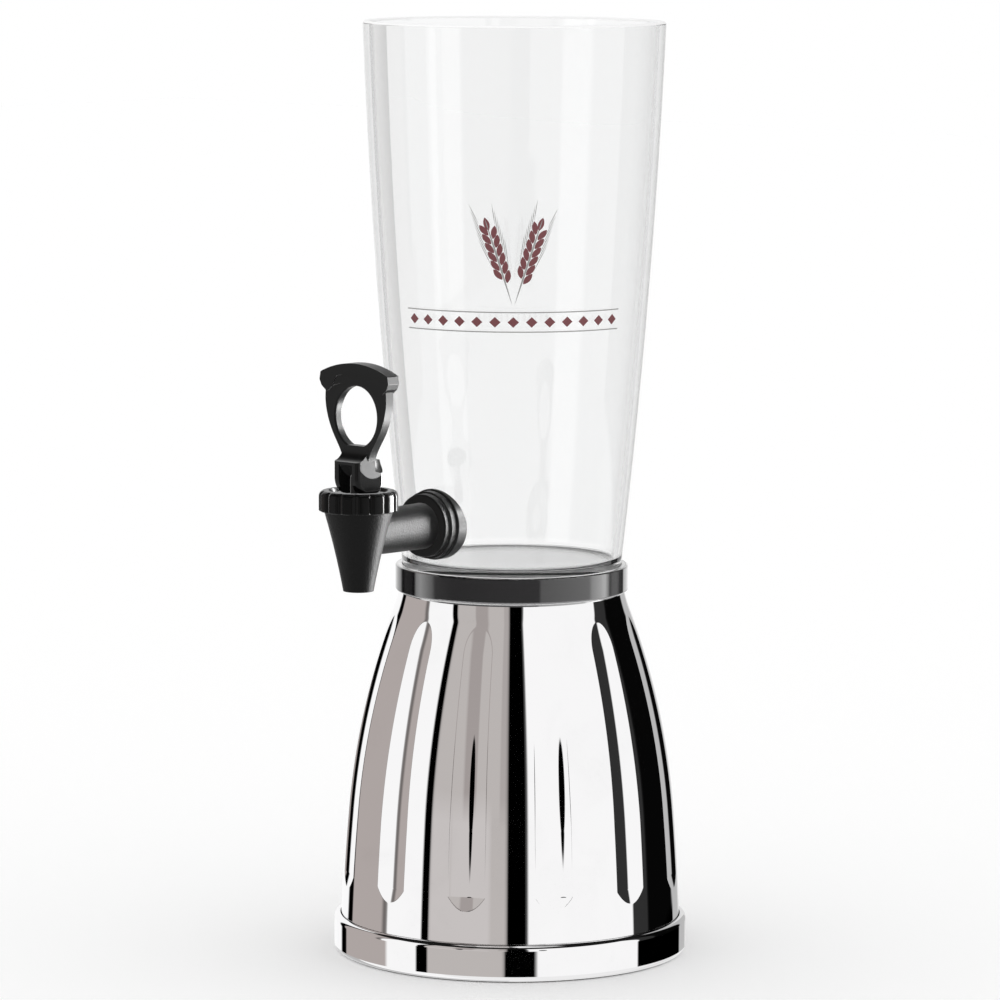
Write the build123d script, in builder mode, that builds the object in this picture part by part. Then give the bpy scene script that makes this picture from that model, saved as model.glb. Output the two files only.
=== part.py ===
"""Three-litre drinks tower: a clear flared vessel with a pull tap, standing on a fluted chrome bell.

Frame: +Z up, origin on the vessel's axis in the plane the tower stands on, the tap facing -Y. Millimetres.
"""

from build123d import *
from math import cos, hypot, pi, sin, sqrt
import os

os.makedirs("parts", exist_ok=True)

# ---------------------------------------------------------------- driving dimensions
# Foot and bell
FOOT_RADIUS = 85.0          # outside of the chrome foot ring
FOOT_TOP_Z = 18.0           # top edge of the foot ring
FOOT_WALL = 2.9             # thickness of the ring's upright wall
FOOT_CLEAR = 0.6            # the ring hangs this far clear of the table
FOOT_EDGE = 3.0             # rounding of the ring's top and bottom edges
BELL_SEAM = 0.4             # gap all round between the bell and the foot ring
BELL_WALL = 3.4
BELL_KNEE_IN = 3.2          # how much narrower the bell is at its knee than at the foot
BELL_KNEE_Z = 70.3
BELL_SHOULDER_OUT = 1.6     # how much wider the bell is at its shoulder than at its top edge
BELL_BULGE = 3.5            # how far the bell's side bows out between knee and shoulder
BELL_TOP_Z = 175.4
BELL_NECK = 8.9             # height of the short neck between shoulder and top edge
BELL_TOP_INSET = 1.0        # the bell's top edge sits this far in under the collar
WEB_THICKNESS = 3.0         # the flat top of the bell
LEDGE_THICKNESS = 3.0       # ledge of the foot ring that the bell's lower edge stands on
LEDGE_WIDTH = 15.1
PLATE_THICKNESS = 3.6
PAD_THICKNESS = 3.0
PAD_INSET = 10.2            # pad's edge inside the circle of the plate's screws

# Flutes pressed into the bell
FLUTE_COUNT = 12
FLUTE_PHASE = -4.5          # the bell stands this many degrees round from the tap
FLUTE_BELOW_SHOULDER = 8.0  # a flute's floor starts to run out this far below the shoulder
FLUTE_ABOVE_KNEE = 11.7     # height of its deepest place above the knee
FLUTE_ABOVE_FOOT = 20.0     # and it runs out again this far above the foot ring
FLUTE_DEPTH = 0.7           # at both ends
FLUTE_DEEPER = 0.5          # extra depth at its deepest place
FLUTE_RADIUS = 55.0         # hollow of the flute across its width
FLUTE_RUNOUT = 30.0         # radius its floor runs out along
FLUTE_RUNOUT_ANGLE = 25.0
FLUTE_REACH = 6.0           # height of the cutter

# Collar and vessel seat
COLLAR_WALL = 3.07
COLLAR_HEIGHT = 12.4
COLLAR_FLANGE = 2.6         # thickness of its floor flange
COLLAR_FLANGE_WIDTH = 8.83
COLLAR_EDGE = 0.9           # rounding of its outer edges
SEAT_THICKNESS = 4.4
SEAT_CLEAR = 0.25           # seat plate inside the collar
SEAT_EDGE = 0.5
GASKET_THICKNESS = 1.6
GASKET_WIDTH = 3.2
SOCKET_CLEAR = 0.35         # vessel inside the collar

# Vessel
VESSEL_BOTTOM_RADIUS = 52.05
VESSEL_TOP_RADIUS = 72.1
VESSEL_HEIGHT = 263.4
VESSEL_BULGE = 2.45
VESSEL_WALL = 4.0
VESSEL_FLOOR = 6.0
VESSEL_EDGE = 1.5           # rounding of its bottom edge
VESSEL_CORNER = 3.0         # inside corner of wall and floor
VESSEL_RIM = 1.3            # rounding of the rim

# Tap, measured out along -Y from the vessel's axis
TAP_REACH = 110.0           # to the upright axis of the spout
ARM_RISE = 28.0             # the arm's axis above the vessel's underside
ARM_RADIUS = 10.9           # at the flange
ARM_TIP_RADIUS = 10.3       # at the spout
ARM_BORE_RADIUS = 4.0
SHANK_RADIUS = 6.0
SHANK_HOLE_CLEAR = 0.3
SHANK_PAST_NUT = 0.4
FLANGE_RADIUS = 14.9
FLANGE_THICKNESS = 4.0
FLANGE_STEP = 1.0           # the flange's back tier is this much larger
FLANGE_STEP_THICKNESS = 3.2
FLANGE_EDGE = 0.8
WASHER_OVERHANG = 0.9       # the outer washer past that tier
WASHER_THICKNESS = 3.6      # outer washer, at its thinnest on the vessel's side
WASHER_FIT = 0.03           # washers lie this close to the curved vessel
WASHER_EDGE = 0.8
INNER_WASHER_THICKNESS = 0.9
NUT_WALL = 2.0              # shank nut, at its flats
NUT_THICKNESS = 4.0
NUT_EDGE = 0.4
THREAD_CLEAR = 0.15

SPOUT_DROP = 26.3           # the spout's tip below the arm's axis
SPOUT_TOP_RADIUS = 16.1
SPOUT_SHOULDER = 1.0        # the cone's top above the arm
SPOUT_HOLLOW = 0.5          # how far the cone's side curves in
SPOUT_TIP_WALL = 1.5
NECK_INSET = 1.9            # threaded neck under the bonnet nut, in from the cone's top
NECK_HEIGHT = 4.7
NECK_WALL = 2.8
CHAMBER_MARGIN = 2.5        # the chamber reaches this far below and above the arm's bore
CHAMBER_ROUND_CUP = 2.4     # room round the seat cup at the chamber's floor
OUTLET_RADIUS = 5.0
OUTLET_FLARE = 0.6          # the outlet is this much wider at the spout's tip
LIP_HEIGHT = 0.8
LIP_WIDTH = 1.2

BONNET_OVERHANG = 2.8       # bonnet nut past the cone's top
BONNET_DISH = 1.7           # depth of the dished top that the lever rocks in
DISH_CLEAR = 1.13           # dish round the lever's corners
BONNET_WEB = 1.6
BONNET_FLUTES = 22
BONNET_FLUTE_RADIUS = 1.9
BONNET_FLUTE_DEPTH = 0.8
BONNET_EDGE = 2.0           # rounding of its top edge

STEM_RADIUS = 3.8
STEM_THIN_RADIUS = 2.2
STEM_FIT = 0.06             # running fit of the stem in its seal
STEM_ABOVE_PIN = 3.0
STEM_TAIL = 5.0             # length of the thin tail held in the cup
STEM_EDGE = 0.8
SEAL_THICKNESS = 1.6
CUP_OVERLAP = 0.2           # the seat cup past the outlet's lip
CUP_HEIGHT = 7.6
CUP_GAP = 0.1
CUP_EDGE = 1.0
SPRING_WIRE_RADIUS = 0.4
SPRING_ROUND_STEM = 0.5     # spring clear of the stem
SPRING_TURNS = 5
SPRING_GAP = 0.15           # between the spring's ends and what it bears on
PIN_RADIUS = 1.0
PIN_FIT = 0.05              # lever on the pin
PIN_HOLD = 0.02             # stem on the pin, and cup on the stem
PIN_COVER = 1.15            # the pin's ends lie this far inside the lever's cheeks
PIN_EDGE = 0.2

# Lever
CAM_GAP = 0.1               # cam above the dish, the same at every angle
CAM_LOW = 5.5               # pin to the dish with the lever upright
CAM_FRONT = 9.25            # pin to the block's front and back faces
CAM_STEPS = 12              # points the cam's outline is drawn through
BLOCK_WIDTH = 15.5
BLOCK_RISE = 10.0           # the block's top edge above the pin
BLOCK_HEEL = 4.6            # rounding of the block's back bottom edge
BLOCK_CORNER = 2.0
SLOT_GAP = 0.3              # stem to the slot it stands in and to the bonnet nut
SLOT_ROOF = 1.4             # the slot ends this far below the block's top edge
NECK_RISE = 7.0             # height of the hollows that run from the block up to the ring
SCOOP_RADIUS = 12.0         # round hollows in the block's two sides
SCOOP_DEPTH = 3.55          # how deep they reach in from the sides
SCOOP_BACK = 7.0            # their centre behind the pin
SCOOP_RISE = 2.7            # and above the block's top edge
PLATE_FRONT = 2.1           # the ring's front face, ahead of the pin
PLATE_BACK = 2.9
HOLE_HALF_WIDTH = 12.8
HOLE_HALF_HEIGHT = 14.3
HOLE_EDGE = 0.8
RING_FOOT = 6.1             # hole above the block's top edge
RING_WALL = 4.8
RING_SHOULDER_WALL = 1.0    # how far the ring's lower flank stands out past the hole's half width
RING_SHOULDER_DROP = 8.8    # height of that place below the hole's centre
RING_ROOT_OUT = 1.95        # half width gained where the ring springs from the block
RING_ROOT_RISE = 4.8
RING_TAPER = 0.7            # the ring is this much narrower where it meets the bar
BAR_OVER_HOLE = 10.6        # the bar's top above the hole
BAR_OVERHANG = 3.9          # the bar's ends past the ring
BAR_DROOP = 4.9             # how far the ends of the bar fall below its middle
BAR_THICKNESS = 5.0
BAR_SINK = 1.6              # the ring reaches this far past the bar's underside
BAR_FRONT = 3.5
BAR_BACK = 4.1
BAR_EDGE = 0.9
BAR_BAND = 4.0              # recessed band under the bar
BAND_STEP = 0.7             # the band stands this far ahead of the ring
BAND_SINK = 1.0             # and reaches this far up into the bar
LOBE_HEIGHT = 9.0           # end lobes, from the bar's top corners down
LOBE_GAP = 6.0              # their inner sides, in from the ring's edge
LOBE_SWELL = 0.6            # how far the lobes stand out past the bar's ends
LOBE_TOE = 2.6

# Screws
SCREW_RADIUS = 1.6
PLATE_SCREW_LENGTH = 15.0
SEAT_SCREW_INSET = 9.0      # circle of the seat's screws, inside the collar's flange
SEAT_SCREW_LENGTH = 7.4
SCREW_HEAD_RADIUS = 3.2
SCREW_HEAD_HEIGHT = 2.2
SCREW_HEAD_EDGE = 0.8
SCREW_CLEAR = 0.3
SCREW_FIT = 0.05            # pilot holes round the self-tapping shanks
SCREW_END = 0.4             # pilot hole past the screw's end
SCREW_COUNT = 4
SCREW_START = 45.0          # degrees round to the first screw
BOSS_RADIUS = 4.4
BOSS_BITE = 0.3             # bosses sink this far into the bell's wall
BOSS_HEIGHT = 30.0
WEB_HOLE_INSET = 11.0       # edge of the hole in the bell's top, inside the circle of screws
PLATE_EDGE = 0.6
PAD_EDGE = 0.5

# ---------------------------------------------------------------- derived places
SEAM_RADIUS = FOOT_RADIUS - FOOT_WALL
BELL_FOOT_RADIUS = SEAM_RADIUS - BELL_SEAM
BELL_KNEE_RADIUS = BELL_FOOT_RADIUS - BELL_KNEE_IN
BELL_SEAT_Z = PAD_THICKNESS + PLATE_THICKNESS + LEDGE_THICKNESS
LEDGE_Z = BELL_SEAT_Z - LEDGE_THICKNESS
LEDGE_INNER_RADIUS = SEAM_RADIUS - LEDGE_WIDTH
PLATE_Z = PAD_THICKNESS
PLATE_RADIUS = SEAM_RADIUS - 2 * BELL_SEAM
PLATE_SCREW_CIRCLE = BELL_FOOT_RADIUS - BELL_WALL - BOSS_RADIUS + BOSS_BITE
PAD_RADIUS = PLATE_SCREW_CIRCLE - PAD_INSET
BELL_SHOULDER_Z = BELL_TOP_Z - BELL_NECK
FLUTE_HIGH_Z = BELL_SHOULDER_Z - FLUTE_BELOW_SHOULDER
FLUTE_DEEP_Z = BELL_KNEE_Z + FLUTE_ABOVE_KNEE
FLUTE_LOW_Z = FOOT_TOP_Z + FLUTE_ABOVE_FOOT

COLLAR_TOP_Z = BELL_TOP_Z + COLLAR_HEIGHT
SEAT_Z = BELL_TOP_Z + COLLAR_FLANGE
SEAT_TOP_Z = SEAT_Z + SEAT_THICKNESS
VESSEL_Z = SEAT_TOP_Z + GASKET_THICKNESS
VESSEL_TOP_Z = VESSEL_Z + VESSEL_HEIGHT
FLOOR_Z = VESSEL_Z + VESSEL_FLOOR
ARM_Z = VESSEL_Z + ARM_RISE


def bulged_mid(start, end, bulge):
    """Middle point of an arc that stands `bulge` proud of the chord from start to end, away from the axis."""
    length = hypot(end[0] - start[0], end[1] - start[1])
    out = ((end[1] - start[1]) / length, (start[0] - end[0]) / length)
    side = bulge if out[0] > 0 else -bulge
    return ((start[0] + end[0]) / 2 + out[0] * side, (start[1] + end[1]) / 2 + out[1] * side)


def arc_radius_at(start, end, bulge, z):
    """Radius from the Z axis of that same arc at height z."""
    chord = hypot(end[0] - start[0], end[1] - start[1])
    radius = (chord / 2) ** 2 / (2 * bulge) + bulge / 2
    mid = bulged_mid(start, end, bulge)
    foot = ((start[0] + end[0]) / 2, (start[1] + end[1]) / 2)
    unit = ((foot[0] - mid[0]) / bulge, (foot[1] - mid[1]) / bulge)
    centre = (mid[0] + unit[0] * radius, mid[1] + unit[1] * radius)
    return centre[0] + sqrt(radius**2 - (z - centre[1]) ** 2)


VESSEL_SIDE = ((VESSEL_BOTTOM_RADIUS, VESSEL_Z), (VESSEL_TOP_RADIUS, VESSEL_TOP_Z), VESSEL_BULGE)
VESSEL_AT_COLLAR = arc_radius_at(*VESSEL_SIDE, COLLAR_TOP_Z)
VESSEL_AT_ARM = arc_radius_at(*VESSEL_SIDE, ARM_Z)
SOCKET_RADIUS = VESSEL_AT_COLLAR + SOCKET_CLEAR
SEAT_RADIUS = SOCKET_RADIUS - SEAT_CLEAR
COLLAR_RADIUS = SOCKET_RADIUS + COLLAR_WALL
COLLAR_FLANGE_RADIUS = SOCKET_RADIUS - COLLAR_FLANGE_WIDTH
SEAT_SCREW_CIRCLE = COLLAR_FLANGE_RADIUS - SEAT_SCREW_INSET
WEB_HOLE_RADIUS = SEAT_SCREW_CIRCLE - WEB_HOLE_INSET
BELL_TOP_RADIUS = COLLAR_RADIUS - BELL_TOP_INSET
BELL_SHOULDER_RADIUS = BELL_TOP_RADIUS + BELL_SHOULDER_OUT

NUT_ACROSS_FLATS = 2 * (SHANK_RADIUS + NUT_WALL)
FLANGE_STEP_RADIUS = FLANGE_RADIUS + FLANGE_STEP
WASHER_RADIUS = FLANGE_STEP_RADIUS + WASHER_OVERHANG
FLANGE_BACK = VESSEL_AT_ARM + WASHER_THICKNESS
FLANGE_FRONT = FLANGE_BACK + FLANGE_STEP_THICKNESS + FLANGE_THICKNESS
INNER_FACE = sqrt((VESSEL_AT_ARM - VESSEL_WALL) ** 2 - (NUT_ACROSS_FLATS / 2) ** 2) - INNER_WASHER_THICKNESS
SHANK_END = INNER_FACE - NUT_THICKNESS - SHANK_PAST_NUT

SPOUT_TIP_Z = ARM_Z - SPOUT_DROP
SPOUT_TOP_Z = ARM_Z + ARM_TIP_RADIUS + SPOUT_SHOULDER
SPOUT_TIP_RADIUS = OUTLET_RADIUS + OUTLET_FLARE + SPOUT_TIP_WALL
NECK_RADIUS = SPOUT_TOP_RADIUS - NECK_INSET
NECK_TOP_Z = SPOUT_TOP_Z + NECK_HEIGHT
CUP_RADIUS = OUTLET_RADIUS + LIP_WIDTH + CUP_OVERLAP
CHAMBER_RADIUS = NECK_RADIUS - NECK_WALL
CHAMBER_FLOOR_RADIUS = CUP_RADIUS + CHAMBER_ROUND_CUP
CHAMBER_FLOOR_Z = ARM_Z - ARM_BORE_RADIUS - CHAMBER_MARGIN
CHAMBER_WIDE_Z = ARM_Z + ARM_BORE_RADIUS + CHAMBER_MARGIN
LIP_Z = CHAMBER_FLOOR_Z + LIP_HEIGHT
CUP_Z = LIP_Z + CUP_GAP
CUP_TOP_Z = CUP_Z + CUP_HEIGHT
SPRING_RADIUS = STEM_RADIUS + SPRING_ROUND_STEM + SPRING_WIRE_RADIUS

BONNET_RADIUS = SPOUT_TOP_RADIUS + BONNET_OVERHANG
BONNET_WEB_Z = NECK_TOP_Z + SEAL_THICKNESS
DISH_Z = BONNET_WEB_Z + BONNET_WEB
BONNET_TOP_Z = DISH_Z + BONNET_DISH
BONNET_DISH_RADIUS = hypot(BLOCK_WIDTH / 2, CAM_FRONT) + DISH_CLEAR
PIN_Z = DISH_Z + CAM_GAP + CAM_LOW
PIN_HALF_LENGTH = BLOCK_WIDTH / 2 - PIN_COVER
STEM_TOP_Z = PIN_Z + STEM_ABOVE_PIN
CAM_GROWTH = (CAM_FRONT - CAM_LOW) / (pi / 2)   # lift of the stem per radian of lever

BLOCK_TOP_Z = PIN_Z + BLOCK_RISE
SLOT_TOP_Z = BLOCK_TOP_Z - SLOT_ROOF
SLOT_HALF = STEM_RADIUS + SLOT_GAP
SLOT_BACK = hypot(STEM_RADIUS, STEM_ABOVE_PIN) + SLOT_GAP    # the stem's top corner swings past here
NECK_TOP = BLOCK_TOP_Z + NECK_RISE
RING_THICKNESS = PLATE_FRONT + PLATE_BACK
RING_CENTRE_Z = BLOCK_TOP_Z + RING_FOOT + HOLE_HALF_HEIGHT
RING_HALF_WIDTH = HOLE_HALF_WIDTH + RING_WALL
BAR_TOP_Z = RING_CENTRE_Z + HOLE_HALF_HEIGHT + BAR_OVER_HOLE
BAR_STEM_HALF = RING_HALF_WIDTH - RING_TAPER
BAR_HALF_WIDTH = BAR_STEM_HALF + BAR_OVERHANG
RING_TOP_Z = BAR_TOP_Z - BAR_THICKNESS - BAR_SINK
LOBE_INNER_HALF = BAR_STEM_HALF - LOBE_GAP
LOBE_Z = BAR_TOP_Z - BAR_DROOP - LOBE_HEIGHT

UPRIGHT = Plane.XZ                              # local x out from the axis, local y up
TAP_AXIS = Axis((0, -TAP_REACH, 0), (0, 0, 1))
ARM_AXIS = Axis((0, 0, ARM_Z), (0, 1, 0))
TAP_SIDE = Plane(origin=(0, -TAP_REACH, 0), x_dir=(0, 1, 0), z_dir=(1, 0, 0))
TAP_TURNED = Plane(origin=(0, -TAP_REACH, 0), x_dir=(1, 0, 0), z_dir=(0, -1, 0))
ARM_SIDE = Plane(origin=(0, 0, ARM_Z), x_dir=(0, -1, 0), z_dir=(-1, 0, 0))


def tap_level(z):
    """Level plane at height z, centred on the spout's upright axis."""
    return Plane(origin=(0, -TAP_REACH, z))


def arm_face(distance):
    """Upright plane across the arm, `distance` out from the vessel's axis, facing the vessel."""
    return Plane(origin=(0, -distance, ARM_Z), x_dir=(1, 0, 0), z_dir=(0, 1, 0))


def finish(part, name):
    """Label a finished piece and write it to its own file."""
    part.label = name
    export_step(part, f"parts/{name}.step")


# ---------------------------------------------------------------- foot ring
with BuildPart() as foot_ring:
    with BuildSketch(UPRIGHT):
        with BuildLine():
            Polyline(
                (SEAM_RADIUS, FOOT_CLEAR),
                (FOOT_RADIUS, FOOT_CLEAR),
                (FOOT_RADIUS, FOOT_TOP_Z),
                (SEAM_RADIUS, FOOT_TOP_Z),
                (SEAM_RADIUS, BELL_SEAT_Z),
                (LEDGE_INNER_RADIUS, BELL_SEAT_Z),
                (LEDGE_INNER_RADIUS, LEDGE_Z),
                (SEAM_RADIUS, LEDGE_Z),
                close=True,
            )
        make_face()
    revolve(axis=Axis.Z)
    outside = foot_ring.edges().filter_by(GeomType.CIRCLE).filter_by(
        lambda edge: abs(edge.radius - FOOT_RADIUS) < 0.01
    )
    fillet(outside, min(FOOT_EDGE, 0.9 * FOOT_WALL))
    with PolarLocations(PLATE_SCREW_CIRCLE, SCREW_COUNT, start_angle=SCREW_START):
        Hole(SCREW_RADIUS + SCREW_CLEAR)
finish(foot_ring.part, "foot_ring")

# ---------------------------------------------------------------- chrome bell
KNEE = (BELL_KNEE_RADIUS, BELL_KNEE_Z)
SHOULDER = (BELL_SHOULDER_RADIUS, BELL_SHOULDER_Z)
BELL_SIDE = (SHOULDER, KNEE, BELL_BULGE)

def bell_radius(z):
    """Outside radius of the plain bell at height z, above or below its knee."""
    if z >= BELL_KNEE_Z:
        return arc_radius_at(*BELL_SIDE, z)
    down = (BELL_KNEE_Z - z) / (BELL_KNEE_Z - FOOT_TOP_Z)
    return BELL_KNEE_RADIUS + (BELL_FOOT_RADIUS - BELL_KNEE_RADIUS) * down


# One flute: a round hollow whose floor follows the bell's side and runs out of it at both ends.
with BuildPart() as flute:
    with BuildLine(UPRIGHT) as flute_floor:
        floor = ThreePointArc(
            (bell_radius(FLUTE_LOW_Z) - FLUTE_DEPTH, FLUTE_LOW_Z),
            (bell_radius(FLUTE_DEEP_Z) - FLUTE_DEPTH - FLUTE_DEEPER, FLUTE_DEEP_Z),
            (bell_radius(FLUTE_HIGH_Z) - FLUTE_DEPTH, FLUTE_HIGH_Z),
        )
        JernArc(start=floor @ 1, tangent=floor % 1, radius=FLUTE_RUNOUT, arc_size=-FLUTE_RUNOUT_ANGLE)
        JernArc(start=floor @ 0, tangent=(floor % 0) * -1, radius=FLUTE_RUNOUT, arc_size=FLUTE_RUNOUT_ANGLE)
    flute_wire = Wire(flute_floor.edges())
    flute_start = flute_wire.position_at(0)
    with BuildSketch(Plane(origin=flute_start, x_dir=(0, -1, 0), z_dir=flute_wire.tangent_at(0))) as section:
        with BuildLine():
            half = sqrt(2 * FLUTE_RADIUS * FLUTE_REACH - FLUTE_REACH**2)
            ThreePointArc((-half, FLUTE_REACH), (0, 0), (half, FLUTE_REACH))
            Line((half, FLUTE_REACH), (-half, FLUTE_REACH))
        make_face()
    sweep(path=flute_wire)

# The bell's own section plane, turned to lie between two flutes.
BELL_PLANE = Plane.XZ.rotated((0, 0, FLUTE_PHASE + 180 / FLUTE_COUNT))

with BuildPart() as base_bell:
    with BuildSketch(BELL_PLANE):
        with BuildLine():
            side = ThreePointArc(SHOULDER, bulged_mid(*BELL_SIDE), KNEE)
            skirt = TangentArc(side @ 1, (BELL_FOOT_RADIUS, FOOT_TOP_Z), tangent=side % 1)
            shoulder = Spline((BELL_TOP_RADIUS, BELL_TOP_Z), side @ 0, tangents=[(0, -1), side % 0])
            foot = (BELL_FOOT_RADIUS, BELL_SEAT_Z)
            Polyline(skirt @ 1, foot, (0, BELL_SEAT_Z), (0, BELL_TOP_Z), shoulder @ 0)
        make_face()
    revolve(axis=Axis.Z)
    with PolarLocations(0, FLUTE_COUNT, start_angle=FLUTE_PHASE):
        add(flute.part, mode=Mode.SUBTRACT)
    with BuildSketch(BELL_PLANE):
        with BuildLine():
            inside_shoulder = (BELL_SHOULDER_RADIUS - BELL_WALL, BELL_SHOULDER_Z)
            inside_knee = (BELL_KNEE_RADIUS - BELL_WALL, BELL_KNEE_Z)
            inside_mid = bulged_mid(inside_shoulder, inside_knee, BELL_BULGE)
            inside = ThreePointArc(inside_shoulder, inside_mid, inside_knee)
            Polyline(
                inside @ 1,
                (BELL_FOOT_RADIUS - BELL_WALL, FOOT_TOP_Z),
                (BELL_FOOT_RADIUS - BELL_WALL, BELL_SEAT_Z),
                (0, BELL_SEAT_Z),
                (0, BELL_TOP_Z - WEB_THICKNESS),
                (BELL_TOP_RADIUS - BELL_WALL, BELL_TOP_Z - WEB_THICKNESS),
                inside @ 0,
            )
        make_face()
    revolve(axis=Axis.Z, mode=Mode.SUBTRACT)
    with BuildSketch(Plane.XY.offset(BELL_SEAT_Z)):
        with PolarLocations(PLATE_SCREW_CIRCLE, SCREW_COUNT, start_angle=SCREW_START):
            Circle(BOSS_RADIUS)
    extrude(amount=BOSS_HEIGHT)
    with BuildSketch(Plane.XY.offset(BELL_SEAT_Z)):
        with PolarLocations(PLATE_SCREW_CIRCLE, SCREW_COUNT, start_angle=SCREW_START):
            Circle(SCREW_RADIUS + SCREW_FIT)
    extrude(amount=PLATE_SCREW_LENGTH, mode=Mode.SUBTRACT)
    with BuildSketch(Plane.XY.offset(BELL_TOP_Z)):
        Circle(WEB_HOLE_RADIUS)
        with PolarLocations(SEAT_SCREW_CIRCLE, SCREW_COUNT, start_angle=SCREW_START):
            Circle(SCREW_RADIUS + SCREW_CLEAR)
    extrude(amount=-WEB_THICKNESS, mode=Mode.SUBTRACT)
finish(base_bell.part, "base_bell")

# ---------------------------------------------------------------- underside
with BuildPart() as bottom_plate:
    with BuildSketch(Plane.XY.offset(PLATE_Z)):
        Circle(PLATE_RADIUS)
    extrude(amount=PLATE_THICKNESS)
    chamfer(bottom_plate.edges().group_by(Axis.Z)[0], PLATE_EDGE)
    with Locations(Plane.XY.offset(PLATE_Z)):
        with PolarLocations(PLATE_SCREW_CIRCLE, SCREW_COUNT, start_angle=SCREW_START):
            with Locations(Rotation(180, 0, 0)):
                CounterBoreHole(
                    SCREW_RADIUS + SCREW_CLEAR,
                    SCREW_HEAD_RADIUS + SCREW_CLEAR,
                    SCREW_HEAD_HEIGHT,
                    depth=PLATE_THICKNESS,
                )
finish(bottom_plate.part, "bottom_plate")

with BuildPart() as base_pad:
    with BuildSketch(Plane.XY):
        Circle(PAD_RADIUS)
    extrude(amount=PAD_THICKNESS)
    chamfer(base_pad.edges().group_by(Axis.Z)[0], PAD_EDGE)
finish(base_pad.part, "base_pad")


def pan_screw(radius, length):
    """A pan-head screw at the origin, its shank pointing up from the underside of its head."""
    with BuildPart() as screw:
        with BuildSketch(Plane.XY.offset(-SCREW_HEAD_HEIGHT)):
            Circle(SCREW_HEAD_RADIUS)
        extrude(amount=SCREW_HEAD_HEIGHT)
        fillet(screw.edges().group_by(Axis.Z)[0], SCREW_HEAD_EDGE)
        with BuildSketch(Plane.XY.offset(-SCREW_HEAD_HEIGHT)):
            Rectangle(1.3 * SCREW_HEAD_RADIUS, 0.25 * SCREW_HEAD_RADIUS)
            Rectangle(0.25 * SCREW_HEAD_RADIUS, 1.3 * SCREW_HEAD_RADIUS)
        extrude(amount=0.6 * SCREW_HEAD_HEIGHT, mode=Mode.SUBTRACT)
        with BuildSketch(Plane.XY):
            Circle(radius)
        extrude(amount=length)
        chamfer(screw.edges().group_by(Axis.Z)[-1], 0.3 * radius)
    return screw.part


plate_screw = pan_screw(SCREW_RADIUS, PLATE_SCREW_LENGTH)
with BuildPart() as plate_screws:
    with Locations(Plane.XY.offset(PLATE_Z + SCREW_HEAD_HEIGHT)):
        with PolarLocations(PLATE_SCREW_CIRCLE, SCREW_COUNT, start_angle=SCREW_START):
            add(plate_screw)
finish(plate_screws.part, "plate_screws")

# ---------------------------------------------------------------- collar, seat plate and gasket
with BuildPart() as collar_ring:
    with BuildSketch(UPRIGHT):
        with BuildLine():
            Polyline(
                (COLLAR_FLANGE_RADIUS, BELL_TOP_Z),
                (COLLAR_RADIUS, BELL_TOP_Z),
                (COLLAR_RADIUS, COLLAR_TOP_Z),
                (SOCKET_RADIUS, COLLAR_TOP_Z),
                (SOCKET_RADIUS, SEAT_Z),
                (COLLAR_FLANGE_RADIUS, SEAT_Z),
                close=True,
            )
        make_face()
    revolve(axis=Axis.Z)
    collar_outside = collar_ring.edges().filter_by(GeomType.CIRCLE).filter_by(
        lambda edge: abs(edge.radius - COLLAR_RADIUS) < 0.01
    )
    fillet(collar_outside, COLLAR_EDGE)
finish(collar_ring.part, "collar_ring")

with BuildPart() as seat_plate:
    with BuildSketch(Plane.XY.offset(SEAT_Z)):
        Circle(SEAT_RADIUS)
    extrude(amount=SEAT_THICKNESS)
    chamfer(seat_plate.edges().group_by(Axis.Z)[-1], SEAT_EDGE)
    with BuildSketch(Plane.XY.offset(BELL_TOP_Z)):
        with PolarLocations(SEAT_SCREW_CIRCLE, SCREW_COUNT, start_angle=SCREW_START):
            Circle(BOSS_RADIUS)
    extrude(amount=COLLAR_FLANGE)
    with BuildSketch(Plane.XY.offset(BELL_TOP_Z)):
        with PolarLocations(SEAT_SCREW_CIRCLE, SCREW_COUNT, start_angle=SCREW_START):
            Circle(SCREW_RADIUS + SCREW_FIT)
    extrude(amount=SEAT_SCREW_LENGTH - WEB_THICKNESS + SCREW_END, mode=Mode.SUBTRACT)
finish(seat_plate.part, "seat_plate")

seat_screw = pan_screw(SCREW_RADIUS, SEAT_SCREW_LENGTH)
with BuildPart() as seat_screws:
    with Locations(Plane.XY.offset(BELL_TOP_Z - WEB_THICKNESS)):
        with PolarLocations(SEAT_SCREW_CIRCLE, SCREW_COUNT, start_angle=SCREW_START):
            add(seat_screw)
finish(seat_screws.part, "seat_screws")

with BuildPart() as seat_gasket:
    with BuildSketch(Plane.XY.offset(SEAT_TOP_Z)):
        Circle(VESSEL_BOTTOM_RADIUS - VESSEL_EDGE)
        Circle(VESSEL_BOTTOM_RADIUS - VESSEL_EDGE - GASKET_WIDTH, mode=Mode.SUBTRACT)
    extrude(amount=GASKET_THICKNESS)
finish(seat_gasket.part, "seat_gasket")

# ---------------------------------------------------------------- clear vessel
INSIDE_BOTTOM = arc_radius_at(*VESSEL_SIDE, FLOOR_Z) - VESSEL_WALL
INSIDE_SIDE = ((INSIDE_BOTTOM, FLOOR_Z), (VESSEL_TOP_RADIUS - VESSEL_WALL, VESSEL_TOP_Z), VESSEL_BULGE)


def turned(side, corner=0.0, grow=0.0):
    """Solid of revolution under one of the vessel's curved sides, its bottom edge rounded by `corner`."""
    low, high, bulge = side
    low = (low[0] + grow, low[1])
    high = (high[0] + grow, high[1])
    with BuildPart() as body:
        with BuildSketch(UPRIGHT):
            with BuildLine():
                ThreePointArc(low, bulged_mid(low, high, bulge), high)
                Polyline(high, (0, high[1]), (0, low[1]), low)
            make_face()
        revolve(axis=Axis.Z)
        if corner:
            fillet(body.edges().group_by(Axis.Z)[0], corner)
    return body.part


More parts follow.
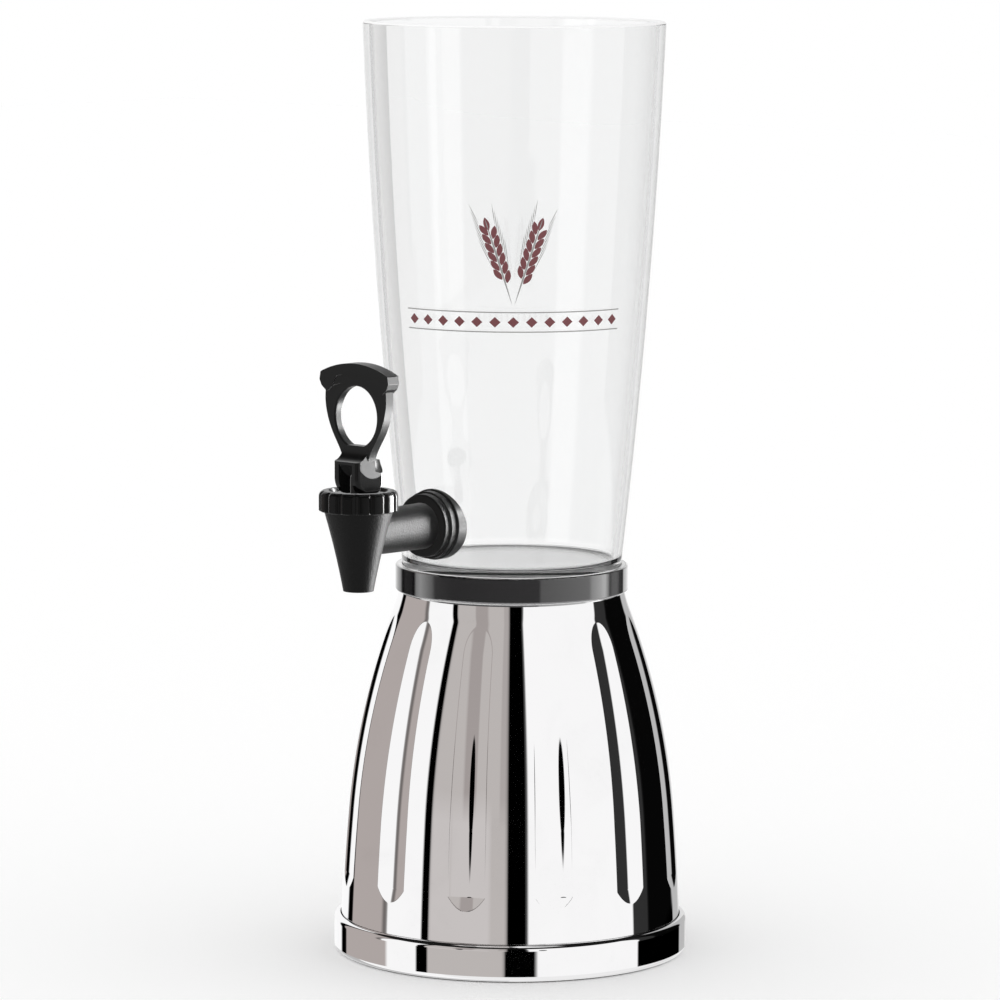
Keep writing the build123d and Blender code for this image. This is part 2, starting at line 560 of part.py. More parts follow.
vessel_outside = turned(VESSEL_SIDE, VESSEL_EDGE)
vessel_inside = turned(INSIDE_SIDE, VESSEL_CORNER)
with BuildPart() as vessel:
    add(vessel_outside)
    add(vessel_inside, mode=Mode.SUBTRACT)
    fillet(vessel.edges().group_by(Axis.Z)[-1], VESSEL_RIM)
    with BuildSketch(arm_face(VESSEL_TOP_RADIUS)):
        Circle(SHANK_RADIUS + SHANK_HOLE_CLEAR)
    extrude(amount=VESSEL_TOP_RADIUS, mode=Mode.SUBTRACT)
finish(vessel.part, "vessel")

# ---------------------------------------------------------------- tap fixing
against_outside = turned(VESSEL_SIDE, grow=WASHER_FIT)
with BuildPart() as outer_washer:
    with BuildSketch(arm_face(FLANGE_BACK)):
        Circle(WASHER_RADIUS)
        Circle(SHANK_RADIUS + THREAD_CLEAR, mode=Mode.SUBTRACT)
    extrude(amount=WASHER_RADIUS)
    add(against_outside, mode=Mode.SUBTRACT)
    fillet(outer_washer.edges().filter_by(GeomType.CIRCLE).sort_by(Axis.Y)[0], WASHER_EDGE)
finish(outer_washer.part, "outer_washer")

against_inside = turned(INSIDE_SIDE, grow=-WASHER_FIT)
with BuildPart() as inner_washer:
    with BuildSketch(arm_face(INNER_FACE)):
        Circle(NUT_ACROSS_FLATS / 2)
        Circle(SHANK_RADIUS + THREAD_CLEAR, mode=Mode.SUBTRACT)
    extrude(amount=-WASHER_RADIUS)
    add(against_inside, mode=Mode.INTERSECT)
finish(inner_washer.part, "inner_washer")

with BuildPart() as shank_nut:
    with BuildSketch(arm_face(INNER_FACE)):
        RegularPolygon(NUT_ACROSS_FLATS / 2, 6, major_radius=False)
        Circle(SHANK_RADIUS + THREAD_CLEAR, mode=Mode.SUBTRACT)
    extrude(amount=NUT_THICKNESS)
    nut_rims = shank_nut.edges().group_by(Axis.Y)
    chamfer(nut_rims[0] + nut_rims[-1], NUT_EDGE)
finish(shank_nut.part, "shank_nut")

# ---------------------------------------------------------------- tap body
with BuildPart() as tap_body:
    with BuildSketch(TAP_TURNED):
        with BuildLine():
            cone = ((SPOUT_TIP_RADIUS, SPOUT_TIP_Z), (SPOUT_TOP_RADIUS, SPOUT_TOP_Z))
            ThreePointArc(cone[0], bulged_mid(*cone, -SPOUT_HOLLOW), cone[1])
            Polyline(
                cone[1],
                (NECK_RADIUS, SPOUT_TOP_Z),
                (NECK_RADIUS, NECK_TOP_Z),
                (0, NECK_TOP_Z),
                (0, SPOUT_TIP_Z),
                cone[0],
            )
        make_face()
    revolve(axis=TAP_AXIS)
    with BuildSketch(ARM_SIDE):
        with BuildLine():
            Polyline(
                (SHANK_END, 0),
                (SHANK_END, SHANK_RADIUS),
                (FLANGE_BACK, SHANK_RADIUS),
                (FLANGE_BACK, FLANGE_STEP_RADIUS),
                (FLANGE_BACK + FLANGE_STEP_THICKNESS, FLANGE_STEP_RADIUS),
                (FLANGE_BACK + FLANGE_STEP_THICKNESS, FLANGE_RADIUS),
                (FLANGE_FRONT, FLANGE_RADIUS),
                (FLANGE_FRONT, ARM_RADIUS),
                (TAP_REACH, ARM_TIP_RADIUS),
                (TAP_REACH, 0),
                close=True,
            )
        make_face()
    revolve(axis=ARM_AXIS)
    flange_rims = tap_body.edges().filter_by(GeomType.CIRCLE).filter_by(
        lambda edge: abs(edge.radius - FLANGE_RADIUS) < 0.01 or abs(edge.radius - FLANGE_STEP_RADIUS) < 0.01
    )
    fillet(flange_rims.sort_by(Axis.Y)[0], FLANGE_EDGE)
    with BuildSketch(TAP_TURNED):
        with BuildLine():
            Polyline(
                (0, NECK_TOP_Z),
                (CHAMBER_RADIUS, NECK_TOP_Z),
                (CHAMBER_RADIUS, CHAMBER_WIDE_Z),
                (CHAMBER_FLOOR_RADIUS, CHAMBER_FLOOR_Z),
                (OUTLET_RADIUS + LIP_WIDTH, CHAMBER_FLOOR_Z),
                (OUTLET_RADIUS + LIP_WIDTH, LIP_Z),
                (OUTLET_RADIUS, LIP_Z),
                (OUTLET_RADIUS + OUTLET_FLARE, SPOUT_TIP_Z),
                (0, SPOUT_TIP_Z),
                close=True,
            )
        make_face()
    revolve(axis=TAP_AXIS, mode=Mode.SUBTRACT)
    with BuildSketch(arm_face(TAP_REACH - CUP_RADIUS)):
        Circle(ARM_BORE_RADIUS)
    extrude(amount=TAP_REACH, mode=Mode.SUBTRACT)
finish(tap_body.part, "tap_body")

with BuildPart() as bonnet_nut:
    with BuildSketch(TAP_TURNED):
        with BuildLine():
            Polyline(
                (NECK_RADIUS + THREAD_CLEAR, SPOUT_TOP_Z),
                (BONNET_RADIUS, SPOUT_TOP_Z),
                (BONNET_RADIUS, BONNET_TOP_Z),
                (BONNET_DISH_RADIUS + BONNET_DISH / 2, BONNET_TOP_Z),
                (BONNET_DISH_RADIUS, DISH_Z),
                (STEM_RADIUS + SLOT_GAP, DISH_Z),
                (STEM_RADIUS + SLOT_GAP, BONNET_WEB_Z),
                (NECK_RADIUS + THREAD_CLEAR, BONNET_WEB_Z),
                close=True,
            )
        make_face()
    revolve(axis=TAP_AXIS)
    bonnet_rims = bonnet_nut.edges().filter_by(GeomType.CIRCLE).filter_by(
        lambda edge: abs(edge.radius - BONNET_RADIUS) < 0.01
    )
    fillet(bonnet_rims.sort_by(Axis.Z)[-1], BONNET_EDGE)
    with BuildSketch(tap_level(SPOUT_TOP_Z)):
        with PolarLocations(BONNET_RADIUS + BONNET_FLUTE_RADIUS - BONNET_FLUTE_DEPTH, BONNET_FLUTES):
            Circle(BONNET_FLUTE_RADIUS)
    extrude(amount=BONNET_TOP_Z - SPOUT_TOP_Z, mode=Mode.SUBTRACT)
finish(bonnet_nut.part, "bonnet_nut")

# ---------------------------------------------------------------- valve inside the tap
with BuildPart() as stem_seal:
    with BuildSketch(tap_level(NECK_TOP_Z)):
        Circle(NECK_RADIUS)
        Circle(STEM_RADIUS + STEM_FIT, mode=Mode.SUBTRACT)
    extrude(amount=SEAL_THICKNESS)
finish(stem_seal.part, "stem_seal")

with BuildPart() as stem:
    with BuildSketch(tap_level(CUP_TOP_Z)):
        Circle(STEM_RADIUS)
    extrude(amount=STEM_TOP_Z - CUP_TOP_Z)
    fillet(stem.edges().group_by(Axis.Z)[-1], STEM_EDGE)
    with BuildSketch(tap_level(CUP_TOP_Z)):
        Circle(STEM_THIN_RADIUS)
    extrude(amount=-STEM_TAIL)
    with BuildSketch(Plane.YZ):
        with Locations((-TAP_REACH, PIN_Z)):
            Circle(PIN_RADIUS + PIN_HOLD)
    extrude(amount=2 * STEM_RADIUS, both=True, mode=Mode.SUBTRACT)
finish(stem.part, "stem")

with BuildPart() as seat_cup:
    with BuildSketch(tap_level(CUP_Z)):
        Circle(CUP_RADIUS)
    extrude(amount=CUP_HEIGHT)
    fillet(seat_cup.edges().group_by(Axis.Z)[0], CUP_EDGE / 2)
    fillet(seat_cup.edges().group_by(Axis.Z)[-1], CUP_EDGE)
    with BuildSketch(tap_level(CUP_TOP_Z)):
        Circle(STEM_THIN_RADIUS + PIN_HOLD)
    extrude(amount=-STEM_TAIL - SPRING_GAP, mode=Mode.SUBTRACT)
finish(seat_cup.part, "seat_cup")

with BuildPart() as return_spring:
    low = CUP_TOP_Z + SPRING_GAP + SPRING_WIRE_RADIUS
    height = NECK_TOP_Z - SPRING_GAP - SPRING_WIRE_RADIUS - low
    with BuildLine(tap_level(low)) as coil:
        Helix(height / SPRING_TURNS, height, SPRING_RADIUS)
    with BuildSketch(Plane(origin=coil.line @ 0, z_dir=coil.line % 0)):
        Circle(SPRING_WIRE_RADIUS)
    sweep(path=coil.line)
finish(return_spring.part, "return_spring")

with BuildPart() as lever_pin:
    with BuildSketch(Plane.YZ):
        with Locations((-TAP_REACH, PIN_Z)):
            Circle(PIN_RADIUS)
    extrude(amount=PIN_HALF_LENGTH, both=True)
    pin_ends = lever_pin.edges().group_by(Axis.X)
    chamfer(pin_ends[0] + pin_ends[-1], PIN_EDGE)
finish(lever_pin.part, "lever_pin")

# ---------------------------------------------------------------- pull lever
def cam_point(turn):
    """Where the cam's underside touches the dish once the lever has turned by `turn` radians."""
    reach = CAM_LOW + CAM_GROWTH * turn
    return (
        -(reach * sin(turn) + CAM_GROWTH * cos(turn)),
        PIN_Z - reach * cos(turn) + CAM_GROWTH * sin(turn),
    )


def bar_arc(drop, half):
    """Arc that follows the top of the finger bar, `drop` below it, out to `half` either side."""
    radius = (BAR_HALF_WIDTH**2 + BAR_DROOP**2) / (2 * BAR_DROOP)
    fall = radius - sqrt(radius**2 - half**2)
    top = BAR_TOP_Z - drop
    return ThreePointArc((-half, top - fall), (0, top), (half, top - fall))


# Cam, block and the hollows above it, seen from the side.
with BuildPart() as lever_block:
    with BuildSketch(TAP_SIDE):
        with BuildLine():
            bottom_z = PIN_Z - CAM_LOW
            heel = TangentArc(
                (CAM_FRONT - BLOCK_HEEL, bottom_z), (CAM_FRONT, bottom_z + BLOCK_HEEL), tangent=(1, 0)
            )
            back_hollow = TangentArc((PLATE_BACK, NECK_TOP), (CAM_FRONT, BLOCK_TOP_Z), tangent=(0, -1))
            front_hollow = TangentArc((-PLATE_FRONT, NECK_TOP), (-CAM_FRONT, BLOCK_TOP_Z), tangent=(0, -1))
            cam = Spline(
                *[cam_point(pi / 2 * step / CAM_STEPS) for step in range(CAM_STEPS + 1)],
                tangents=[(-1, 0), (0, 1)],
            )
            Line(heel @ 0, cam @ 0)
            Line(cam @ 1, front_hollow @ 1)
            Line(front_hollow @ 0, back_hollow @ 0)
            Line(back_hollow @ 1, heel @ 1)
        make_face()
    extrude(amount=BLOCK_WIDTH / 2, both=True)
    back_corners = lever_block.edges().filter_by(Axis.Z).group_by(Axis.Y)[-1]
    fillet(back_corners, BLOCK_CORNER)
    scoop_x = BLOCK_WIDTH / 2 + SCOOP_RADIUS - SCOOP_DEPTH
    scoop_y = SCOOP_BACK - TAP_REACH
    scoop_z = BLOCK_TOP_Z + SCOOP_RISE
    with Locations((scoop_x, scoop_y, scoop_z), (-scoop_x, scoop_y, scoop_z)):
        Sphere(SCOOP_RADIUS, mode=Mode.SUBTRACT)

# Ring for a finger, seen from the front.
with BuildPart() as lever_ring:
    with BuildSketch(Plane.XZ.offset(TAP_REACH + PLATE_FRONT)) as ring_outline:
        with BuildLine():
            right = Spline(
                (BLOCK_WIDTH / 2, BLOCK_TOP_Z),
                (BLOCK_WIDTH / 2 + RING_ROOT_OUT, BLOCK_TOP_Z + RING_ROOT_RISE),
                (HOLE_HALF_WIDTH + RING_SHOULDER_WALL, RING_CENTRE_Z - RING_SHOULDER_DROP),
                (RING_HALF_WIDTH, RING_CENTRE_Z),
                (BAR_STEM_HALF, RING_TOP_Z),
            )
            mirror(right, about=Plane.YZ)
            Polyline(
                right @ 0,
                (BLOCK_WIDTH / 2, BLOCK_TOP_Z - SCOOP_RADIUS / 2),
                (-BLOCK_WIDTH / 2, BLOCK_TOP_Z - SCOOP_RADIUS / 2),
                (-BLOCK_WIDTH / 2, BLOCK_TOP_Z),
            )
            Line(right @ 1, (-BAR_STEM_HALF, RING_TOP_Z))
        make_face()
        with Locations((0, RING_CENTRE_Z)):
            Ellipse(HOLE_HALF_WIDTH, HOLE_HALF_HEIGHT, mode=Mode.SUBTRACT)
    extrude(amount=-RING_THICKNESS)
    hole_rims = lever_ring.edges().filter_by(GeomType.ELLIPSE)
    fillet(hole_rims, HOLE_EDGE)

# Arched finger bar with a lobe hanging at each end.
with BuildPart() as lever_bar:
    with BuildSketch(Plane.XZ.offset(TAP_REACH + BAR_FRONT)):
        with BuildLine():
            top = bar_arc(0, BAR_HALF_WIDTH)
            under = bar_arc(BAR_THICKNESS, LOBE_INNER_HALF)
            lobe = Polyline(
                top @ 1,
                (BAR_HALF_WIDTH + LOBE_SWELL, LOBE_Z + 0.6 * LOBE_HEIGHT),
                (BAR_HALF_WIDTH - LOBE_SWELL, LOBE_Z + 0.3 * LOBE_HEIGHT),
                (BAR_STEM_HALF, LOBE_Z),
                (BAR_STEM_HALF - LOBE_TOE, LOBE_Z + 0.25 * LOBE_HEIGHT),
                under @ 1,
            )
            mirror(lobe, about=Plane.YZ)
        make_face()
    extrude(amount=-BAR_FRONT - BAR_BACK)
    fillet(lever_bar.edges().filter_by(Axis.Y), BAR_EDGE)
    with BuildSketch(Plane.XZ.offset(TAP_REACH + PLATE_FRONT + BAND_STEP)):
        with BuildLine():
            band_top = bar_arc(BAR_THICKNESS - BAND_SINK, BAR_STEM_HALF)
            band_under = bar_arc(BAR_THICKNESS + BAR_BAND, BAR_STEM_HALF)
            Line(band_top @ 0, band_under @ 0)
            Line(band_top @ 1, band_under @ 1)
        make_face()
    extrude(amount=-RING_THICKNESS - BAND_STEP)

with BuildPart() as lever:
    add(lever_block.part)
    add(lever_ring.part)
    add(lever_bar.part)
    with BuildSketch(Plane.XY.offset(PIN_Z - CAM_LOW - CAM_GAP)):
        with Locations((0, -TAP_REACH)):
            with Locations((0, (SLOT_BACK - 2 * CAM_FRONT) / 2)):
                Rectangle(2 * SLOT_HALF, SLOT_BACK + 2 * CAM_FRONT)
    extrude(amount=SLOT_TOP_Z - PIN_Z + CAM_LOW + CAM_GAP, mode=Mode.SUBTRACT)
    with BuildSketch(Plane.YZ):
        with Locations((-TAP_REACH, PIN_Z)):
            Circle(PIN_RADIUS + PIN_FIT)
    extrude(amount=PIN_HALF_LENGTH + SLOT_GAP, both=True, mode=Mode.SUBTRACT)
finish(lever.part, "lever")
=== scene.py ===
"""Looks of a table drinks tower: a clear flared vessel with a black pull tap on a fluted chrome bell."""

from math import atan2, cos, hypot, pi, radians, sin

import bmesh
import bpy
import numpy as np
from mathutils import Matrix, Vector


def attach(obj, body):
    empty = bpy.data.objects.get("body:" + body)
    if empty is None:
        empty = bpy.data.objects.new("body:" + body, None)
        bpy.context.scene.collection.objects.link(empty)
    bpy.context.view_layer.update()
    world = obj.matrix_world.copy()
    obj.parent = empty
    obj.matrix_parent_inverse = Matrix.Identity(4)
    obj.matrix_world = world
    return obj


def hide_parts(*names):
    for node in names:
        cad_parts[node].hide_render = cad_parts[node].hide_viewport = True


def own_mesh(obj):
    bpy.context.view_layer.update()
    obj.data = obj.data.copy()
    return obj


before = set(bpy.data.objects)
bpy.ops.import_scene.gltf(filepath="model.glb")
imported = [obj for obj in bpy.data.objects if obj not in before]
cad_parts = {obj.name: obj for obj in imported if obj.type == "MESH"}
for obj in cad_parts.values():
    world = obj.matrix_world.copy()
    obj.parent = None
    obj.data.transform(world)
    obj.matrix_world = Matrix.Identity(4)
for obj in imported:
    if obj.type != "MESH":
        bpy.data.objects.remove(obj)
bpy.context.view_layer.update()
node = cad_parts

# ---------------------------------------------------------------- studio
# A plain white sweep under an even white sky. The sky that shiny surfaces mirror is a ring of soft
# white panels with dark gaps between them, as round a table-top shooting tent.
VIEW_TURN = radians(40.5)        # camera stands this far round from the tap, towards +X
VIEW_DISTANCE = 2.55
VIEW_HEIGHT = 0.5339
VIEW_PITCH = radians(7.057)
VIEW_ROLL = radians(0.267)
VIEW_ASIDE = 0.0058              # camera stands this far left of the tower
LENS_PIXELS = 5355.9             # focal length, in pixels of a picture 1000 wide
SENSOR = 36.0
FLOOR_HALF = 6.0

to_camera = Vector((sin(VIEW_TURN), -cos(VIEW_TURN), 0))
to_right = Vector((cos(VIEW_TURN), sin(VIEW_TURN), 0))


def put(tree, kind, links=None, **settings):
    """Adds one shader node; `links` gives its inputs by name, as a value or as another node's output."""
    added = tree.nodes.new(kind)
    for name, value in settings.items():
        setattr(added, name, value)
    for name, value in (links or {}).items():
        socket = added.inputs[name]
        if isinstance(value, bpy.types.NodeSocket):
            tree.links.new(value, socket)
        else:
            socket.default_value = value
    return added


def maths(tree, operation, *values, clamp=False):
    """Result of one Math node."""
    inputs = dict(enumerate(values))
    return put(tree, "ShaderNodeMath", inputs, operation=operation, use_clamp=clamp).outputs[0]


def spread(tree, value, low, high, start=0.0, end=1.0, clamp=True):
    """Maps start..end onto low..high."""
    reach = {"Value": value, "From Min": start, "From Max": end, "To Min": low, "To Max": high}
    return put(tree, "ShaderNodeMapRange", reach, clamp=clamp).outputs["Result"]


def blend(tree, factor, first, second):
    """Colour between two others, each of them three numbers or another node's output."""
    first, second = ((*colour, 1) if isinstance(colour, tuple) else colour for colour in (first, second))
    return put(
        tree, "ShaderNodeMix", {"Factor": factor, "A": first, "B": second}, data_type="RGBA"
    ).outputs["Result"]


def angle_round(tree, way, right, ahead):
    """Angle of a direction round the tower, from `ahead` towards `right`."""
    across, toward = (
        put(tree, "ShaderNodeVectorMath", {0: way, 1: side}, operation="DOT_PRODUCT").outputs["Value"]
        for side in (right, ahead)
    )
    return maths(tree, "ARCTAN2", across, toward)


def ramp(tree, factor, stops, smooth=False):
    """Colour ramp through (place, level or colour) stops."""
    added = put(tree, "ShaderNodeValToRGB", {"Fac": factor})
    added.color_ramp.interpolation = "EASE" if smooth else "LINEAR"
    elements = added.color_ramp.elements
    while len(elements) < len(stops):
        elements.new(0.5)
    for element, (place, level) in zip(elements, stops):
        element.position = place
        element.color = (*level, 1) if isinstance(level, tuple) else (level, level, level, 1)
    return added.outputs["Color"]


def panels(tree, angle, bands, blur=0.9):
    """Soft-edged panels: `bands` is (from degrees, level) round from -180, blurred over `blur` degrees."""
    stops = []
    for (start, level), (_, before) in zip(bands, [bands[-1]] + bands[:-1]):
        place = (start + 180) / 360
        half = blur / 720
        if start > -180:
            stops.append((place - half, before))
            stops.append((place + half, level))
        else:
            stops.append((0.0, level))
    return ramp(tree, angle, stops)


def plain_object(name, mesh):
    added = bpy.data.objects.new(name, mesh)
    bpy.context.scene.collection.objects.link(added)
    return added


def new_material(name):
    """Empty material with its Principled skin; returns the material, its tree and the skin's inputs."""
    material = bpy.data.materials.new(name)
    material.use_nodes = True
    tree = material.node_tree
    return material, tree, tree.nodes["Principled BSDF"].inputs


bpy.context.scene.view_settings.view_transform = "Standard"


def build_camera():
    forward = -to_camera * cos(VIEW_PITCH) - Vector((0, 0, sin(VIEW_PITCH)))
    up = to_right.cross(forward)
    right = to_right * cos(VIEW_ROLL) + up * sin(VIEW_ROLL)
    up = up * cos(VIEW_ROLL) - to_right * sin(VIEW_ROLL)
    camera = bpy.data.objects.new("camera", bpy.data.cameras.new("camera"))
    camera.data.sensor_width = SENSOR
    camera.data.lens = LENS_PIXELS * SENSOR / 1000
    place = to_camera * VIEW_DISTANCE - to_right * VIEW_ASIDE + Vector((0, 0, VIEW_HEIGHT))
    turn = Matrix((right, up, -forward)).transposed().to_4x4()
    camera.matrix_world = Matrix.Translation(place) @ turn
    bpy.context.scene.collection.objects.link(camera)
    bpy.context.scene.camera = camera


WARM = (0.445, 0.40, 0.385)      # cardboard-coloured card
WARM_EDGE = (0.17, 0.155, 0.15)
PALE, PALE_DEEP, PALE_FAR = (0.52, 0.49, 0.475), (0.38, 0.345, 0.335), (0.43, 0.40, 0.39)
PALE_LOW = (0.60, 0.57, 0.56)
# Panels round the tower, by degrees from the camera, growing to the camera's right. The tall ones are
# what the sloping side of the bell mirrors. Below them stand the ones that its skirt mirrors, then the
# ones nearest the table, for the upright foot ring, and a last row for the vessel's overhanging wall.
TENT = [
    (-180, 1.0), (-145, 0.0), (-136, WARM), (-97, WARM_EDGE), (-92.5, 1.0), (-62.7, 0.0), (-56.6, PALE),
    (-37, PALE_DEEP), (-24, PALE), (-8, PALE_FAR), (-2.6, 0.0), (11.6, 1.0), (92, 0.03), (108, 0.002),
    (145, 0.5), (165, 0.75),
]
SKIRT_TENT = [
    (-180, 1.0), (-145, 0.0), (-136, WARM), (-97, WARM_EDGE), (-92.5, 1.0), (-62.7, 0.0), (-56.6, PALE_LOW),
    (-14, PALE), (-2.6, 0.0), (11.6, 1.0), (92, 0.03), (108, 0.002), (145, 0.5), (165, 0.75),
]
TABLE_TENT = [
    (-180, 1.0), (-145, 0.0), (-136, WARM), (-88.6, 1.0), (-64.2, 0.0), (-55.5, PALE), (-4.0, 0.0),
    (17.0, 1.0), (92, 0.0), (147, 0.5), (165, 0.75),
]
VESSEL_TENT = [(-180, 0.7), (-150, 0.5), (-118, 1.0), (-45, 0.9), (118, 0.8), (150, 0.9)]
# Each row of panels under the tall one: panels, degrees of rise below which they stand, softness.
ROWS = [(SKIRT_TENT, 2.0, 5.0), (TABLE_TENT, -9.8, 0.4), (VESSEL_TENT, -13.0, 0.4)]
# A dark lid between these heights, with a white panel straight overhead, and how soft its edges are.
LID_FROM, LID_TO, LID_BLUR = 38.0 / 90, 70.0 / 90, 0.03
LID = (0.01, 0.01, 0.01)
# Two dark stands between the panels: degrees from the camera, half width, lowest and highest degree.
STANDS = [(-32.8, 2.6, -3.9, 13.3), (21.1, 2.8, -3.0, 13.3)]
STAND_EDGE = (0.85, 1.1)         # an oval stand fades out between these shares of its size, squared


def build_sky():
    world = bpy.data.worlds.new("sky")
    bpy.context.scene.world = world
    world.use_nodes = True
    tree = world.node_tree
    tree.nodes.clear()
    way = put(tree, "ShaderNodeTexCoord").outputs["Generated"]
    angle = angle_round(tree, way, to_right, to_camera)
    turn = maths(tree, "MULTIPLY_ADD", angle, 1 / (2 * pi), 0.5)
    height = maths(tree, "ARCSINE", put(tree, "ShaderNodeSeparateXYZ", {0: way}).outputs["Z"])
    mirrored = panels(tree, turn, TENT)
    for lower, start, soft in ROWS:
        under = spread(tree, height, 0.0, 1.0, radians(start + soft / 2), radians(start - soft / 2))
        mirrored = blend(tree, under, mirrored, panels(tree, turn, lower))
    lid = ramp(
        tree, maths(tree, "DIVIDE", height, pi / 2),
        [(LID_FROM, 1.0), (LID_FROM + LID_BLUR, 0.0), (LID_TO, 0.0), (LID_TO + LID_BLUR, 1.0)],
    )
    mirrored = blend(tree, lid, LID, mirrored)
    for aside, half, low, high in STANDS:
        away = maths(tree, "DIVIDE", maths(tree, "SUBTRACT", angle, radians(aside)), radians(half))
        up = spread(tree, height, -1.0, 1.0, radians(low), radians(high), clamp=False)
        spot = maths(tree, "ADD", maths(tree, "POWER", away, 2.0), maths(tree, "POWER", up, 2.0))
        mirrored = blend(tree, spread(tree, spot, 0.0, 1.0, *STAND_EDGE), (0, 0, 0), mirrored)
    path = put(tree, "ShaderNodeLightPath").outputs
    reflected = maths(tree, "SUBTRACT", path["Is Glossy Ray"], path["Transmission Depth"], clamp=True)
    light = blend(tree, reflected, (1, 1, 1), mirrored)
    shown = put(tree, "ShaderNodeBackground", {"Color": light, "Strength": 1.0})
    put(tree, "ShaderNodeOutputWorld", {"Surface": shown.outputs[0]})


def build_floor():
    mesh = bpy.data.meshes.new("floor")
    corners = [(x * FLOOR_HALF, y * FLOOR_HALF, 0) for x, y in ((-1, -1), (1, -1), (1, 1), (-1, 1))]
    mesh.from_pydata(corners, [], [(0, 1, 2, 3)])
    floor = plain_object("floor", mesh)
    material, _, skin = new_material("floor_paper")
    skin["Base Color"].default_value = (1, 1, 1, 1)
    skin["Roughness"].default_value = 1.0
    skin["Specular IOR Level"].default_value = 0.0
    mesh.materials.append(material)
    floor.visible_glossy = False


build_camera()
build_sky()
build_floor()

# ---------------------------------------------------------------- chrome bell
# One deep bell, moulded in plastic and chrome plated, with twelve long hollows pressed into its side.
# It tapers from a straight skirt to a narrow neck under the collar.
MM = 0.001
BELL_FOOT = (81.7, 18.0)
BELL_KNEE = (78.5, 70.3)
BELL_SHOULDER = (56.5, 166.5)
BELL_TOP = (53.95, 175.4)
BELL_TOP_LEAN = radians(13)      # from upright, at the very top
BELL_BULGE = 3.5
BELL_WALL = 3.4
BELL_BOTTOM_Z = 9.6
BELL_RIM_DROP = 0.2              # inner edge of the top, below the outer one
SKIRT_ROWS, SIDE_ROWS, NECK_ROWS = 100, 160, 13
FLUTES = 12
FLUTE_PHASE = radians(-4.5)
FLUTE_LOW_Z, FLUTE_HIGH_Z = 33.0, 165.0
FLUTE_DEPTH, FLUTE_SHALLOW = 1.2, 0.78       # depth at the knee and at the shoulder
FLUTE_RADIUS = 55.0              # hollow of a flute across its width
FLUTE_FOOT, FLUTE_HEAD = 6.5, 13.0           # heights over which it runs out below and above
FLUTE_FOOT_ROWS, FLUTE_HEAD_ROWS = 34, 40
FLUTE_CREASE = 0.012             # softness of the flutes' edges
BELL_COLUMNS = FLUTES * 120
CHROME_CLEAN, CHROME_SMEARED = (0.93, 0.925, 0.93), (0.88, 0.875, 0.88)
CHROME_ROUGH = (0.015, 0.05)


def new_group(name, inputs, outputs):
    """Empty shader group with float inputs (name, default) and outputs (name, socket type)."""
    tree = bpy.data.node_groups.new(name, "ShaderNodeTree")
    for label, default in inputs:
        socket = tree.interface.new_socket(label, in_out="INPUT", socket_type="NodeSocketFloat")
        socket.default_value = default
    for label, kind in outputs:
        tree.interface.new_socket(label, in_out="OUTPUT", socket_type=kind)
    start = tree.nodes.new("NodeGroupInput")
    end = tree.nodes.new("NodeGroupOutput")
    return tree, start.outputs, end.inputs


def handling_group():
    """Faint smears and dust left by hands and cloths: one mask, large soft patches with fine streaks."""
    tree, given, made = new_group("handling", [("Size", 0.05)], [("Mask", "NodeSocketFloat")])
    place = put(tree, "ShaderNodeTexCoord").outputs["Object"]
    scale = maths(tree, "DIVIDE", 1.0, given["Size"])
    soft = put(
        tree, "ShaderNodeTexNoise", {"Vector": place, "Scale": scale, "Detail": 4.0, "Distortion": 1.2}
    )
    patches = ramp(tree, soft.outputs["Fac"], [(0.45, 0.0), (0.75, 1.0)], smooth=True)
    finer = maths(tree, "MULTIPLY", scale, 14.0)
    fine = put(tree, "ShaderNodeTexNoise", {"Vector": place, "Scale": finer, "Detail": 5.0})
    tree.links.new(maths(tree, "MULTIPLY", patches, fine.outputs["Fac"]), made["Mask"])
    return tree


HANDLING = handling_group()


def handled(tree, size):
    """Mask of the handling marks, at a size in metres."""
    return put(tree, "ShaderNodeGroup", {"Size": size}, node_tree=HANDLING).outputs["Mask"]


def dress(target, material):
    """Gives a CAD node or a piece this material in place of its own."""
    target.data.materials.clear()
    target.data.materials.append(material)


def chrome_material():
    """Bright chrome plating: a clean mirror with hardly any haze."""
    material, tree, skin = new_material("chrome")
    marks = handled(tree, 0.04)
    tree.links.new(blend(tree, marks, CHROME_CLEAN, CHROME_SMEARED), skin["Base Color"])
    tree.links.new(spread(tree, marks, *CHROME_ROUGH), skin["Roughness"])
    skin["Metallic"].default_value = 1.0
    return material


CHROME = chrome_material()


def arc_points(start, middle, end, count):
    """Points along the arc through three points, `count` steps."""
    (ax, ay), (bx, by), (cx, cy) = start, middle, end
    d = 2 * (ax * (by - cy) + bx * (cy - ay) + cx * (ay - by))
    a2, b2, c2 = ax * ax + ay * ay, bx * bx + by * by, cx * cx + cy * cy
    ox = (a2 * (by - cy) + b2 * (cy - ay) + c2 * (ay - by)) / d
    oy = (a2 * (cx - bx) + b2 * (ax - cx) + c2 * (bx - ax)) / d
    radius = hypot(ax - ox, ay - oy)
    first = atan2(ay - oy, ax - ox)
    mid = (atan2(by - oy, bx - ox) - first + pi) % (2 * pi) - pi
    last = (atan2(cy - oy, cx - ox) - first + pi) % (2 * pi) - pi
    if last * mid < 0:
        last += 2 * pi if mid > 0 else -2 * pi
    steps = np.linspace(0, last, count + 1)
    return np.stack([ox + radius * np.cos(first + steps), oy + radius * np.sin(first + steps)], 1)


def bowed(start, end, bulge, count):
    """Arc from start to end that stands `bulge` proud of its chord, away from the axis."""
    length = hypot(end[0] - start[0], end[1] - start[1])
    out = ((end[1] - start[1]) / length, (start[0] - end[0]) / length)
    side = bulge if out[0] > 0 else -bulge
    mid = ((start[0] + end[0]) / 2 + out[0] * side, (start[1] + end[1]) / 2 + out[1] * side)
    return arc_points(start, mid, end, count)


